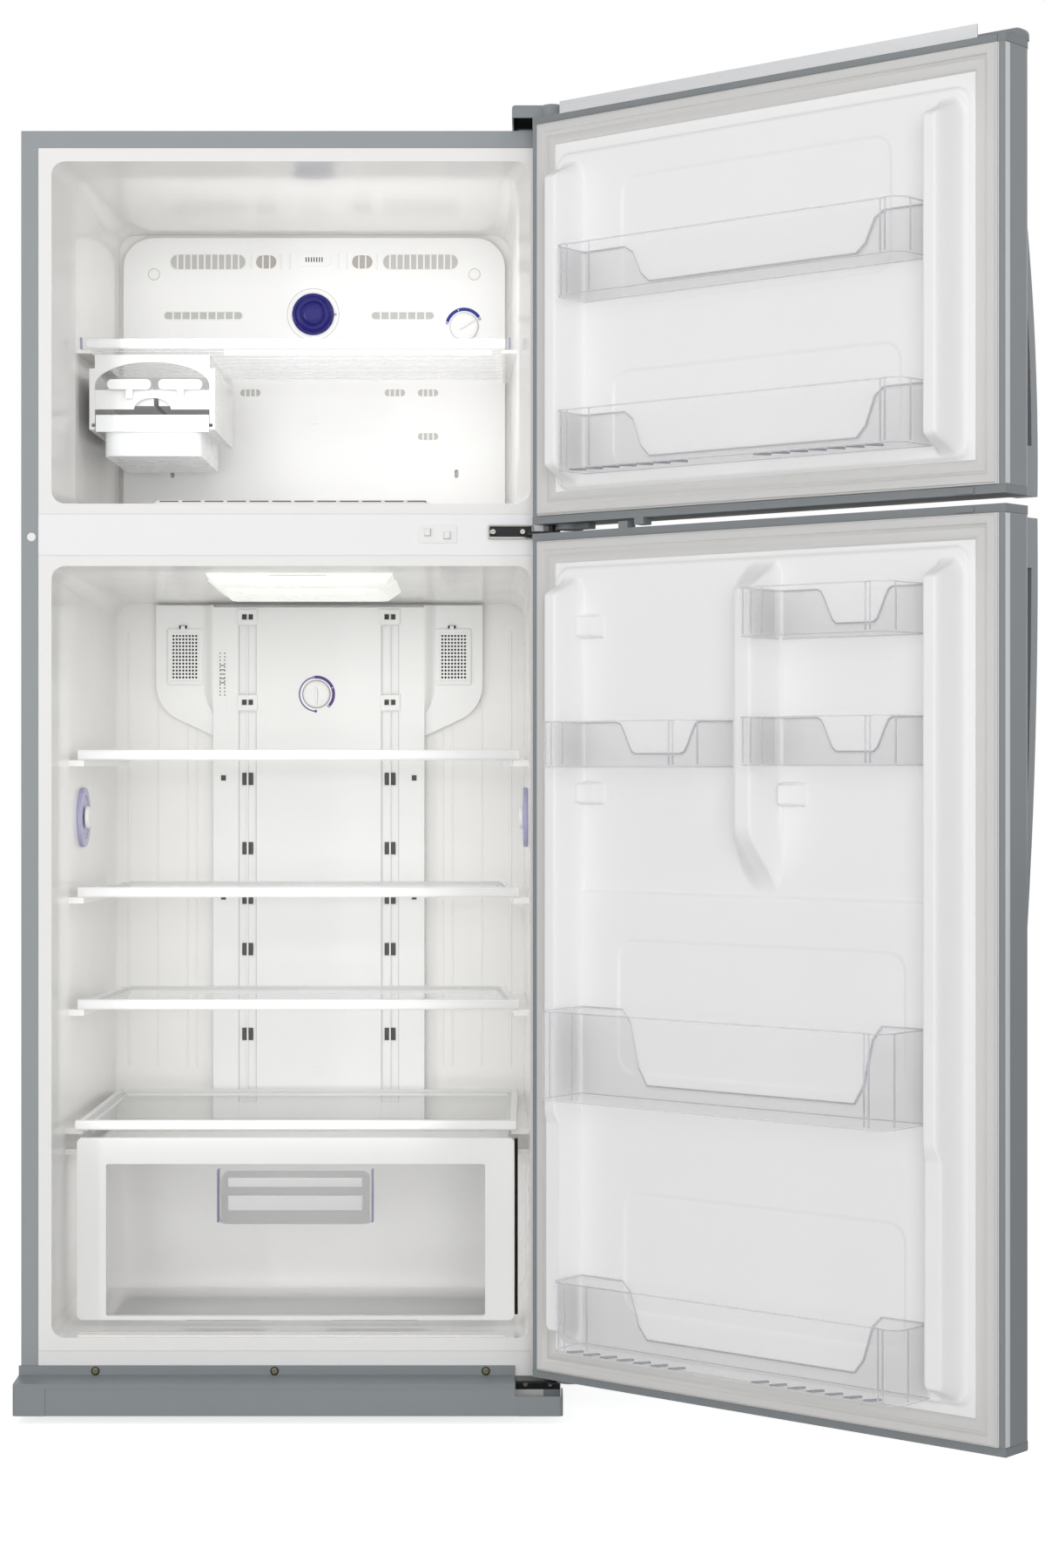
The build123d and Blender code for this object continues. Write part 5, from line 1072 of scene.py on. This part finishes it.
    def make_ice_maker(self) -> None:
        """Frame, levers, trays and frosted bin, softened."""
        self.refiner.stand_in("ice_maker_frame", SOFT_WHITE, 0.8, 3)
        self.refiner.stand_in("ice_tray_left", SOFT_WHITE, 1.6, 3)
        self.refiner.stand_in("ice_tray_right", SOFT_WHITE, 1.6, 3)
        self.refiner.stand_in("ice_bin", FROST, 1.4, 3)

    def make(self) -> None:
        """Makes and reports all the freezer's fittings."""
        self.refiner.stand_in("freezer_back_panel", WHITE_PLASTIC, 0.5, 2,
                              extra=[self.vent_backs(), self.round_backs(), self.skirt()]
                              + self.rings() + self.trims())
        self.make_cap()
        self.make_dial()
        self.make_shelf()
        self.make_ice_maker()


def frame_rings(x: Pair, z: Pair, corner: float, width: float, y: float,
                lift: float) -> list[Ring]:
    """Rings of a raised rounded outline on a face that looks to the front."""
    def ring(inset: float, height: float) -> Ring:
        """One closed rounded rectangle, moved in by an inset."""
        points = []
        r = max(corner - inset, 0.2)
        corners = ((x[1] - inset - r, z[1] - inset - r, 0), (x[0] + inset + r, z[1] - inset - r, 90),
                   (x[0] + inset + r, z[0] + inset + r, 180), (x[1] - inset - r, z[0] + inset + r, 270))
        for cx, cz, start in corners:
            for k in range(7):
                a = math.radians(start + 15 * k)
                points.append((cx + r * math.cos(a), y - height, cz + r * math.sin(a)))
        return points
    return [ring(0, -0.4), ring(0, lift * 0.5), ring(width * 0.3, lift), ring(width * 0.7, lift),
            ring(width, lift * 0.5), ring(width, -0.4)]


@dataclass
class FridgeFittings:
    """Air duct, filter covers, dial, lamp, side discs and glass shelves of the fridge."""

    refiner: Refiner
    duct_face: float = 561.0
    wing_face: float = 575.0
    duct_top: float = 1188.0
    channel: Pair = (101.0, 129.0)
    drops: tuple[float, ...] = (288.0, 400.0, 480.0, 563.0, 700.0)
    shelf_heights: tuple[float, ...] = (568.5, 734.0, 936.5)
    dial_at: Pair = (-3.6, 1043.7)

    def shoulder(self, side: int) -> list[Ring]:
        """Rings of the soft rise from a wing to the tower's face."""
        rings = []
        for z, reach in ((1012.0, 171.4), (1026.0, 180.0), (1046.0, 187.0), (1100.0, 189.0), (1187.5, 189.0)):
            row = []
            for k in range(9):
                t = k / 8
                x = 169.6 + (reach - 169.6) * t
                y = self.duct_face - 0.06 + (self.wing_face - self.duct_face) * t * t * (3 - 2 * t)
                row.append((side * x, y, z))
            row.append((side * reach, self.wing_face + 0.6, z))
            row.append((side * 169.6, self.wing_face + 0.6, z))
            rings.append(row)
        return rings

    def duct_details(self) -> list[bpy.types.Object]:
        """Shelf slots in pairs filled with painted shade, centre bars of the channels, brackets, painted shade
        lines along the channels and the sensor grille with painted shade behind and across it.
        """
        dark, bars, lines, shoulders = Shape(), Shape(), Shape(), Shape()
        face = self.duct_face
        for side in (-1, 1):
            x0, x1 = sorted((side * self.channel[0], side * self.channel[1]))
            mid = (x0 + x1) / 2
            bars.block((mid - 1.3, mid + 1.3), (face - 0.3, face + 4.2), (388, 1180))
            for x in (x0, x1):
                lines.block((x - 0.35, x + 0.35), (face - 0.12, face + 0.4), (386, 1180))
            for drop in self.drops:
                z = self.duct_top - drop
                dark.block((x0 + 5.2, x1 - 5.2), (face + 3.0, face + 4.0), (z - 3.0, z + 17.0))
                bars.block((x0 + 3.5, x1 - 3.5), (face + 2.6, face + 4.4), (z - 5.4, z - 3.6))
            for z in (1156.0, 1018.0):
                dark.block((mid - 9.0, mid - 1.8), (face + 3.2, face + 3.9), (z + 8.4, z + 16.6))
                dark.block((mid + 1.8, mid + 9.0), (face + 3.2, face + 3.9), (z + 8.4, z + 16.6))
                rim = frame_rings((x0 - 2, x1 + 2), (z - 2, z + 28.0), 3.0, 1.8, face - 2.4, 0.8)
                bars.loft(rim, ends=False)
                bars.block((x0, x1), (face - 3.2, face), (z + 4.0, z + 5.4))
            shoulders.loft(self.shoulder(side))
        for z in (904.0, 712.0):
            for x in (-154.0, 154.0):
                dark.block((x - 3.8, x + 3.8), (face + 1.6, face + 2.6), (z + 0.2, z + 8.8))
        sensor = sheet("sensor_grille", WHITE_PLASTIC, (-155.5, face - 0.05, 1076), width=13, height=114,
                             corner=6, columns=2, rows=13, column_pitch=7.2, row_pitch=5.6, hole_width=2.0,
                             hole_height=2.4, thickness=1.2)
        behind = boxes("sensor_back_shade", HOLE_SHADE, [((-160.6, -150.4), (face - 0.3, face - 0.1), (1040, 1112))])
        bands = boxes("sensor_band_shade", SLOT_SHADE, [
            ((-159.6, -151.4), (face - 1.35, face - 1.2), (z - 0.8, z + 0.8))
            for z in (1062, 1069, 1076, 1083, 1090)])
        return [shoulders.object("duct_shoulders", WHITE_PLASTIC, angle=50),
                dark.object("duct_slot_shade", SLOT_SHADE),
                bars.object("duct_bars", WHITE_PLASTIC, bevel=0.35, segments=2),
                lines.object("duct_shade_lines", SHADE_LINE), sensor, behind, bands]

    def make_filters(self) -> None:
        """Two perforated covers with a snap tab each, painted shade behind the holes and under the tab."""
        parts = []
        y = self.wing_face
        for side in (-1, 1):
            mid = side * 217.5
            plate = Shape()
            plate.loft(frame_rings((mid - 29.5, mid + 29.5), (1058, 1151), 5.0, 9.0, y + 0.4, 4.2), ends=False)
            plate.block((mid - 21, mid + 21), (y - 2.4, y - 1.8), (1066, 1143))
            parts.append(plate.object("filter_plate", WHITE_PLASTIC, bevel=0.4, segments=2))
            parts.append(sheet("filter_holes", WHITE_PLASTIC, (mid, y - 2.4, 1104.6), width=44, height=77,
                                     corner=2, columns=8, rows=13, column_pitch=5.25, row_pitch=5.6,
                                     hole_width=3.6, hole_height=3.6, thickness=1.5))
            parts.append(boxes("filter_hole_shade", HOLE_SHADE, [
                ((mid - 21, mid + 21), (y - 2.5, y - 2.38), (1067, 1142)),
                ((mid - 9, mid + 3), (y - 4.4, y - 0.5), (1150.4, 1155))]))
            parts.append(boxes("filter_tab", WHITE_PLASTIC, [
                ((mid - 6.5, mid + 0.5), (y - 4.9, y - 1), (1148, 1154.6))], bevel=0.8))
        report(joined("filter_covers_perforated", parts), "cabinet", "white_plastic", "filter_covers")

    def make_dial(self) -> None:
        """Fridge control with its printed ring."""
        x, z = self.dial_at
        centre = (x, self.duct_face, z)
        report(knob("fridge_dial_knob", WHITE_PLASTIC, centre, 21.4, 6.4, 272.0), "fridge_dial", "white_plastic",
               "fridge_dial")
        marks = (100, 22, -44, -93)
        scale = [arc_band("fridge_scale_thick", PRINT_PURPLE, centre, (25.2, 30.0), (96, -40)),
                 arc_band("fridge_scale_thin", PRINT_PURPLE, centre, (26.6, 28.6), (104, 266)),
                 dots("fridge_scale_marks", PRINT_PURPLE, centre, 27.5, marks, 2.3),
                 dots("fridge_scale_eyes", WHITE_PLASTIC, centre, 27.5, marks[:3], 1.0, 0.5),
                 arc_band("fridge_dial_gap_shade", SLOT_SHADE, centre, (21.9, 22.7), (0, 360), 0.15)]
        report(joined("fridge_dial_scale", scale), "cabinet", "lavender_plastic")

    def make_lamp(self) -> None:
        """Glowing cover with three pressed outlines and a fine grille line."""
        slope = Matrix.Rotation(-math.atan2(22.0, 589.7), 4, "X")
        top = 1213.0
        pivot = Matrix.Translation(Vector((0, 0.3, top)) * MM)
        tilt = pivot @ slope @ pivot.inverted()
        low = top - 0.2 - 14.0
        lines = Shape()
        for x0, x1 in ((-92, -42), (-36, 50), (56, 96)):
            ring = frame_rings((x0, x1), (215.0, 262.0), 8.0, 1.6, 0.0, 0.7)
            lines.loft([[(px, pz, low + py) for px, py, pz in row] for row in ring], ends=False)
        # The grille's slits are painted shade in warm grey.
        grille = boxes("lamp_grille", WARM_SHADE, [((x, x + 2.2), (106.0, 109.0), (1210.2, 1211.3))
                                                   for x in (-40 + k * 3.5 for k in range(24))], turned=tilt)
        slant = Shape()
        slant.loft([[(-133, 100, top), (141, 100, top), (139, 199, top), (-139, 199, top)],
                    [(-131, 101, 1211.6), (139, 101, 1211.6), (122, 199, low + 1.0), (-122, 199, low + 1.0)]])
        for x0, x1 in ((-78, -36), (-30, 44), (50, 86)):
            ring = frame_rings((x0, x1), (128.0, 176.0), 8.0, 2.0, 0.0, 1.0)
            slant.loft([[(px, pz, top + 0.1 - 13.6 * (pz - 104) / 95 + py) for px, py, pz in row]
                        for row in ring], ends=False)
        self.refiner.stand_in("lamp_cover", GLOW, 2.2, 3, extra=[
            slant.object("lamp_slant", GLOW, bevel=0.6, turned=tilt),
            lines.object("lamp_lines", GLOW, turned=tilt), grille])

    def make_shelves(self) -> None:
        """White rimmed frames and their glass panes."""
        self.refiner.stand_in("shelf_frames", MILKY, 1.6, 3)
        parts = [self.refiner.copy("shelf_glass", PANE, 0.5, 2)]
        report(joined("shelf_panes_softened", parts), "cabinet", "shelf_pane", "shelf_glass")
        bars = [row for z in self.shelf_heights
                for row in (((-318, 318), (137.6, 146.4), (z + 1.2, z + 12.6)),
                            ((-294, 294), (463.5, 468.8), (z + 6.0, z + 11.2)))]
        report(boxes("shelf_front_bars", SOFT_WHITE, bars, bevel=2.6, segments=3), "cabinet", "white_plastic")

    def make_discs(self) -> None:
        """Round scent discs on the side walls, with a lighter middle."""
        centres = Shape()
        parts = [self.refiner.copy("side_discs", LAVENDER, 1.6, 3)]
        for side in (-1, 1):
            x = side * (341.8 - 10.8 * 258 / 590 - 7.0)
            rows = []
            for r, out in ((17.0, 0.0), (17.0, 3.6), (15.6, 4.8), (10.0, 5.6), (1.5, 6.0)):
                rows.append([(x - side * out, 258 + r * math.cos(a), 850 + r * math.sin(a))
                             for a in (math.tau * k / 40 for k in range(40))])
            centres.loft(rows)
        parts.append(centres.object("disc_middles", WHITE_PLASTIC, angle=50))
        report(joined("side_discs_domed", parts), "cabinet", "lavender_plastic", "side_discs")

    def make(self) -> None:
        """Makes and reports all the fridge's fittings."""
        self.refiner.stand_in("duct_panel", WHITE_PLASTIC, 1.2, 2, extra=self.duct_details())
        self.make_filters()
        self.make_dial()
        self.make_lamp()
        self.make_shelves()
        self.make_discs()


@dataclass
class Crisper:
    """Cover, pane and drawer at the bottom of the fridge."""

    refiner: Refiner

    def make(self) -> None:
        """Makes and reports the crisper's pieces."""
        self.refiner.stand_in("crisper_cover", WHITE_PLASTIC, 1.6, 3)
        self.refiner.stand_in("crisper_glass", PANE, 0.5, 2)
        tint = boxes("pull_edges", TINTED, [((x, x + 2.8), (77.0, 96.0), (264, 341)) for x in (-113.6, 110.8)],
                     bevel=1.0)
        # Painted highlights: two milky bands across the pull stand for the reflections on its glossy scoop.
        grip = boxes("pull_highlight_bands", MILKY, [((-98, 98), (79.5, 83.5), z)
                                          for z in ((281.0, 303.0), (315.0, 329.0))], bevel=1.8)
        self.refiner.stand_in("crisper_drawer", CLEAR, 1.2, 2, extra=[tint, grip])
        self.refiner.stand_in("crisper_front", WHITE_PLASTIC, 2.0, 3)
        # Painted shade: dark strips in the gaps at the drawer's floor and beside its front.
        gaps = Shape()
        for x0, x1 in ((-170, -42), (42, 188)):
            gaps.loft([[(x0, y, 120.2), (x0 + 12, y, 118.6), (x1 - 12, y, 118.6), (x1, y, 120.2)]
                       for y in (96, 99)])
        gaps.block((318.8, 323.6), (98.6, 100.2), (127.0, 384.0))
        report(gaps.object("crisper_gap_shade", HOLE_SHADE), self.refiner.bodies["crisper_drawer"],
               "clear_plastic")


@dataclass
class Cabinet:
    """Liners' mouldings, hinges, kick plate and fasteners."""

    refiner: Refiner
    back: float = 590.0
    hinge_z: float = 1261.5

    def bead(self, shape: Shape, x: float, z: Pair, wide: float = 3.0, lift: float = 1.1) -> None:
        """Upright moulded bead on the fridge's back wall, with rounded ends."""
        rings = []
        for share, part in ((0.0, 0.1), (0.004, 0.6), (0.01, 1.0), (0.99, 1.0), (0.996, 0.6), (1.0, 0.1)):
            h = z[0] + (z[1] - z[0]) * share
            w, up = wide * part, lift * part
            rings.append([(x - w / 2, self.back + 0.3, h), (x - w * 0.3, self.back - up, h),
                          (x + w * 0.3, self.back - up, h), (x + w / 2, self.back + 0.3, h)])
        shape.loft(rings)

    def make_fridge_mouldings(self) -> None:
        """Beads of the back wall and the ridges at the floor's front."""
        shape = Shape()
        for side in (-1, 1):
            for x in (199.6, 214.8, 262.7):
                self.bead(shape, side * x, (437, 1150))
            self.bead(shape, side * 310, (437, 1148), 4.0)
        for y in (9.0, 20.0, 31.0):
            shape.block((-306, 306), (y - 2.4, y + 2.4), (110.8, 114.1))
        piece = shape.object("fridge_liner_mouldings", WHITE_LINER, bevel=0.8, segments=2)
        report(piece, "cabinet", "white_liner")

    def make_freezer_sill(self) -> None:
        """Raised sill across the freezer's floor with a row of drain slits, their insides painted shade."""
        body = Shape()
        rings = []
        for x, z in ((-202, 1302.4), (-194, 1308.4), (190, 1308.4), (198, 1302.4)):
            rings.append([(x, 30.0, 1301.0), (x, 33.0, z), (x, 34.2, z + 1.6), (x, 46.0, z + 1.6),
                          (x, 49.0, 1301.0)])
        body.loft(rings)
        slits = boxes("sill_slit_shade", SLOT_SHADE, [((x - 13.5, x + 13.5), (32.6, 35.4), (1306.4, 1309.0))
                                                for x in (-178 + k * 32.4 for k in range(12))])
        parts = [body.object("sill_body", WHITE_LINER, bevel=0.8), slits]
        report(joined("freezer_floor_sill", parts), "cabinet", "white_liner")

    def make_hinges(self) -> None:
        """Middle hinge with its bright edge, bottom and top hinges."""
        mid = self.hinge_z
        edge = Shape()
        edge.loft(frame_rings((282.4, 345.6), (mid - 9.6, mid + 9.1), 2.0, 1.5, -3.0, 0.5), ends=False)
        edge.block((282, 346), (-6.6, -2.6), (mid - 10.1, mid - 7.4))
        bright = edge.object("hinge_edge", ZINC, bevel=0.3, segments=2)
        self.refiner.stand_in("middle_hinge", DARK_STEEL, 0.5, 2, extra=[bright])
        self.refiner.stand_in("bottom_hinge", DARK_STEEL, 0.8, 2)
        self.refiner.stand_in("top_hinge", BASE_STEEL, 0.6, 2)
        self.refiner.stand_in("top_hinge_cover", GREY_PLASTIC, 1.2, 3)

    def make_screws(self) -> None:
        """Screws with cross recesses, painted shade rings round the kick plate's screws and painted shade notches
        below them.
        """
        mid = self.hinge_z
        kick = [(x, -4.4, 64.8) for x in (-278.5, -23.0, 278.5)]
        hinge = [(335.0, -4.1, 46.5), (370.0, -4.1, 46.5), (289.0, -4.1, mid), (331.0, -4.1, mid)]
        made = [screw_row("kick_screws", SCREW_BRASS, kick), screw_row("hinge_screws", ZINC, hinge)]
        made += [arc_band("screw_seat_shade", HOLE_SHADE, (x, y + 0.7, z), (4.6, 6.0), (0, 360), 0.4)
                 for x, y, z in kick]
        made.append(boxes("kick_notch_shade", SHADE_LINE, [
            ((x - 1.8, x + 1.8), (y + 0.2, y + 0.7), (z - 15.0, z - 7.6)) for x, y, z in kick]))
        report(joined("screws_cross_head", made), "cabinet", "zinc", "screws")

    def make(self) -> None:
        """Makes and reports the cabinet's own pieces."""
        self.make_fridge_mouldings()
        self.make_freezer_sill()
        self.make_hinges()
        self.make_screws()
        self.refiner.stand_in("kick_plate", GREY_PLASTIC, 1.2, 3)
        self.refiner.stand_in("switch_housing", WHITE_PLASTIC, 0.7, 3)
        self.refiner.stand_in("cap_plugs", WHITE_PLASTIC, 0.5, 2)
        self.refiner.stand_in("mullion_cover", FLANGE_PAINT, 0.0)


@dataclass
class DoorHardware:
    """Handle and end caps of one door."""

    refiner: Refiner
    door: str
    span: Pair

    def make(self) -> None:
        """Makes the handle and the caps with a painted highlight strip on the skin's edge, and the freezer door's
        silver crown and lip.
        """
        self.refiner.stand_in(self.door + "_handle", HANDLE_SILVER, 3.0, 4)
        low, high = self.span
        edges = [((-385.2, -384.6), (-19.5, -8.6), (low, high))]
        extra = []
        if self.door == "freezer_door":
            edges.append(((-345.0, 335.0), (-9.0, -6.6), (1840.4, 1857.6)))
            lip = [((-374.0, 374.0), (-9.0, -6.4), (1831.2, 1840.2))]
            extra = [boxes(self.door + "_cap_lip", DARK_GREY, lip, bevel=0.4, turned=opened())]
        trim = boxes(self.door + "_trim_and_highlight", SKIN_EDGE_AND_HIGHLIGHT, edges, bevel=0.25, turned=opened())
        self.refiner.stand_in(self.door + "_caps", DARK_GREY, 0.8, 3, extra=[trim] + extra)


@dataclass
class Studio:
    """Floor, backdrop, lamps and camera."""

    camera_at: Point = (0.3444, -4.282, 0.9258)
    lens: float = 68.88
    shift: Pair = (-0.0061, -0.0107)
    world: float = 0.36
    key: float = 270.0
    floor_lift: float = 0.74
    fills: tuple[tuple[str, Point, Pair, float], ...] = (
        ("freezer_fill", (0.03, 0.07, 1.555), (0.56, 0.36), 0.6),
        ("fridge_fill", (-0.05, 0.05, 0.78), (0.52, 0.76), 0.86),
        ("crisper_fill", (0.0, 0.115, 0.27), (0.52, 0.18), 0.5))

    def make_world(self) -> None:
        """Even white surroundings, plain white where the camera or a reflection sees them."""
        world = bpy.data.worlds.new("studio_world")
        bpy.context.scene.world = world
        world.use_nodes = True
        wiring = Wiring(world.node_tree)
        wiring.tree.nodes.clear()
        path = wiring.add("ShaderNodeLightPath")
        seen = wiring.maths("MAXIMUM", path["Is Camera Ray"], path["Is Glossy Ray"])
        level = wiring.add("ShaderNodeMapRange", {
            "Value": wiring.maths("MAXIMUM", seen, path["Is Transmission Ray"]), "To Min": self.world,
            "To Max": 1.0})
        back = wiring.add("ShaderNodeBackground", {"Color": (1.0, 1.0, 1.0, 1.0), "Strength": level[0]})
        wiring.add("ShaderNodeOutputWorld", {"Surface": back[0]})

    def make_floor(self) -> None:
        """Wide white floor that keeps the object's soft shadow."""
        mesh = bpy.data.meshes.new("studio_floor")
        r = 30.0
        mesh.from_pydata([(-r, -r, 0), (r, -r, 0), (r, r, 0), (-r, r, 0)], [], [(0, 1, 2, 3)])
        material = bpy.data.materials.new("studio_floor")
        material.use_nodes = True
        wiring = Wiring(material.node_tree)
        wiring.tree.nodes.clear()
        path = wiring.add("ShaderNodeLightPath")
        glow = wiring.add("ShaderNodeEmission", {
            "Strength": wiring.maths("MULTIPLY", path["Is Camera Ray"], self.floor_lift)})
        diffuse = wiring.add("ShaderNodeBsdfDiffuse", {"Color": (0.92, 0.92, 0.92, 1)})
        both = wiring.add("ShaderNodeAddShader", {0: diffuse[0], 1: glow[0]})
        wiring.add("ShaderNodeOutputMaterial", {"Surface": both[0]})
        mesh.materials.append(material)
        placed("studio_floor", mesh)

    def make_lamp(self, name: str, at: Point, aim: Point, size: Pair, power: float,
                  glossy: bool = True) -> None:
        """Rectangular soft lamp.

        Args:
            name: Name of the lamp.
            at: Where it stands, in metres.
            aim: The point that it faces.
            size: Its width and height.
            power: Its power in watts.
            glossy: Whether reflections show it.
        """
        data = bpy.data.lights.new(name, "AREA")
        data.shape = "RECTANGLE"
        data.size, data.size_y = size
        data.energy = power
        lamp = bpy.data.objects.new(name, data)
        lamp.visible_glossy = glossy
        lamp.location = at
        lamp.rotation_euler = (Vector(aim) - Vector(at)).to_track_quat("-Z", "Y").to_euler()
        bpy.context.scene.collection.objects.link(lamp)

    def make_camera(self) -> None:
        """Camera at the photograph's angle."""
        data = bpy.data.cameras.new("photo_camera")
        data.lens = self.lens
        data.sensor_width = 36.0
        data.shift_x, data.shift_y = self.shift
        data.clip_end = 100.0
        camera = bpy.data.objects.new("photo_camera", data)
        camera.location = self.camera_at
        camera.rotation_euler = (math.pi / 2, 0, 0)
        bpy.context.scene.collection.objects.link(camera)
        bpy.context.scene.camera = camera

    def build(self) -> None:
        """Makes the whole studio."""
        bpy.context.scene.view_settings.view_transform = "Standard"
        self.make_world()
        self.make_floor()
        self.make_lamp("front_softbox", (0.2, -9.0, 1.9), (0.3, 0.0, 0.95), (5.0, 4.0), self.key, glossy=False)
        self.make_lamp("top_softbox", (-1.6, -2.4, 3.8), (0.2, 0.0, 0.9), (2.6, 2.6), 16.0)
        self.make_lamp("left_strip", (-3.4, -4.6, 1.3), (0.2, 0.0, 0.95), (0.3, 2.6), 26.0)
        self.make_lamp("right_strip", (4.2, -4.8, 1.3), (0.2, 0.0, 0.95), (0.3, 2.6), 14.0)
        for name, (x, y, z), size, power in self.fills:
            self.make_lamp(name, (x, y, z), (x, 1.0, z), size, power, glossy=False)
        self.make_camera()


def main() -> None:
    """Builds the sub-assemblies in order and reports each piece."""
    logging.basicConfig(level=logging.INFO, format="%(message)s")
    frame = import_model()
    record = frame["record"]
    slots = {row["node"]: row["material_slot"] for row in record["subparts"]}
    bodies = {node: body for body, nodes in record["behaviour"]["bodies"].items() for node in nodes}
    refiner = Refiner(frame["nodes"], slots, bodies)
    Studio().build()
    Dresser(frame["nodes"], slots).dress()
    Cabinet(refiner).make()
    FreezerFittings(refiner).make()
    FridgeFittings(refiner).make()
    Crisper(refiner).make()
    Door("freezer_door", 1268.0, 1841.95, 1302.0, 1790.6).make()
    Door("fridge_door", 66.0, 1255.0, 111.5, 1213.0, ribbed=True).make()
    for door, span in (("freezer_door", (1280.0, 1830.0)), ("fridge_door", (78.0, 1243.0))):
        DoorHardware(refiner, door, span).make()
    for bins in DOOR_BINS:
        bins.make()


if __name__ == "__main__":
    main()
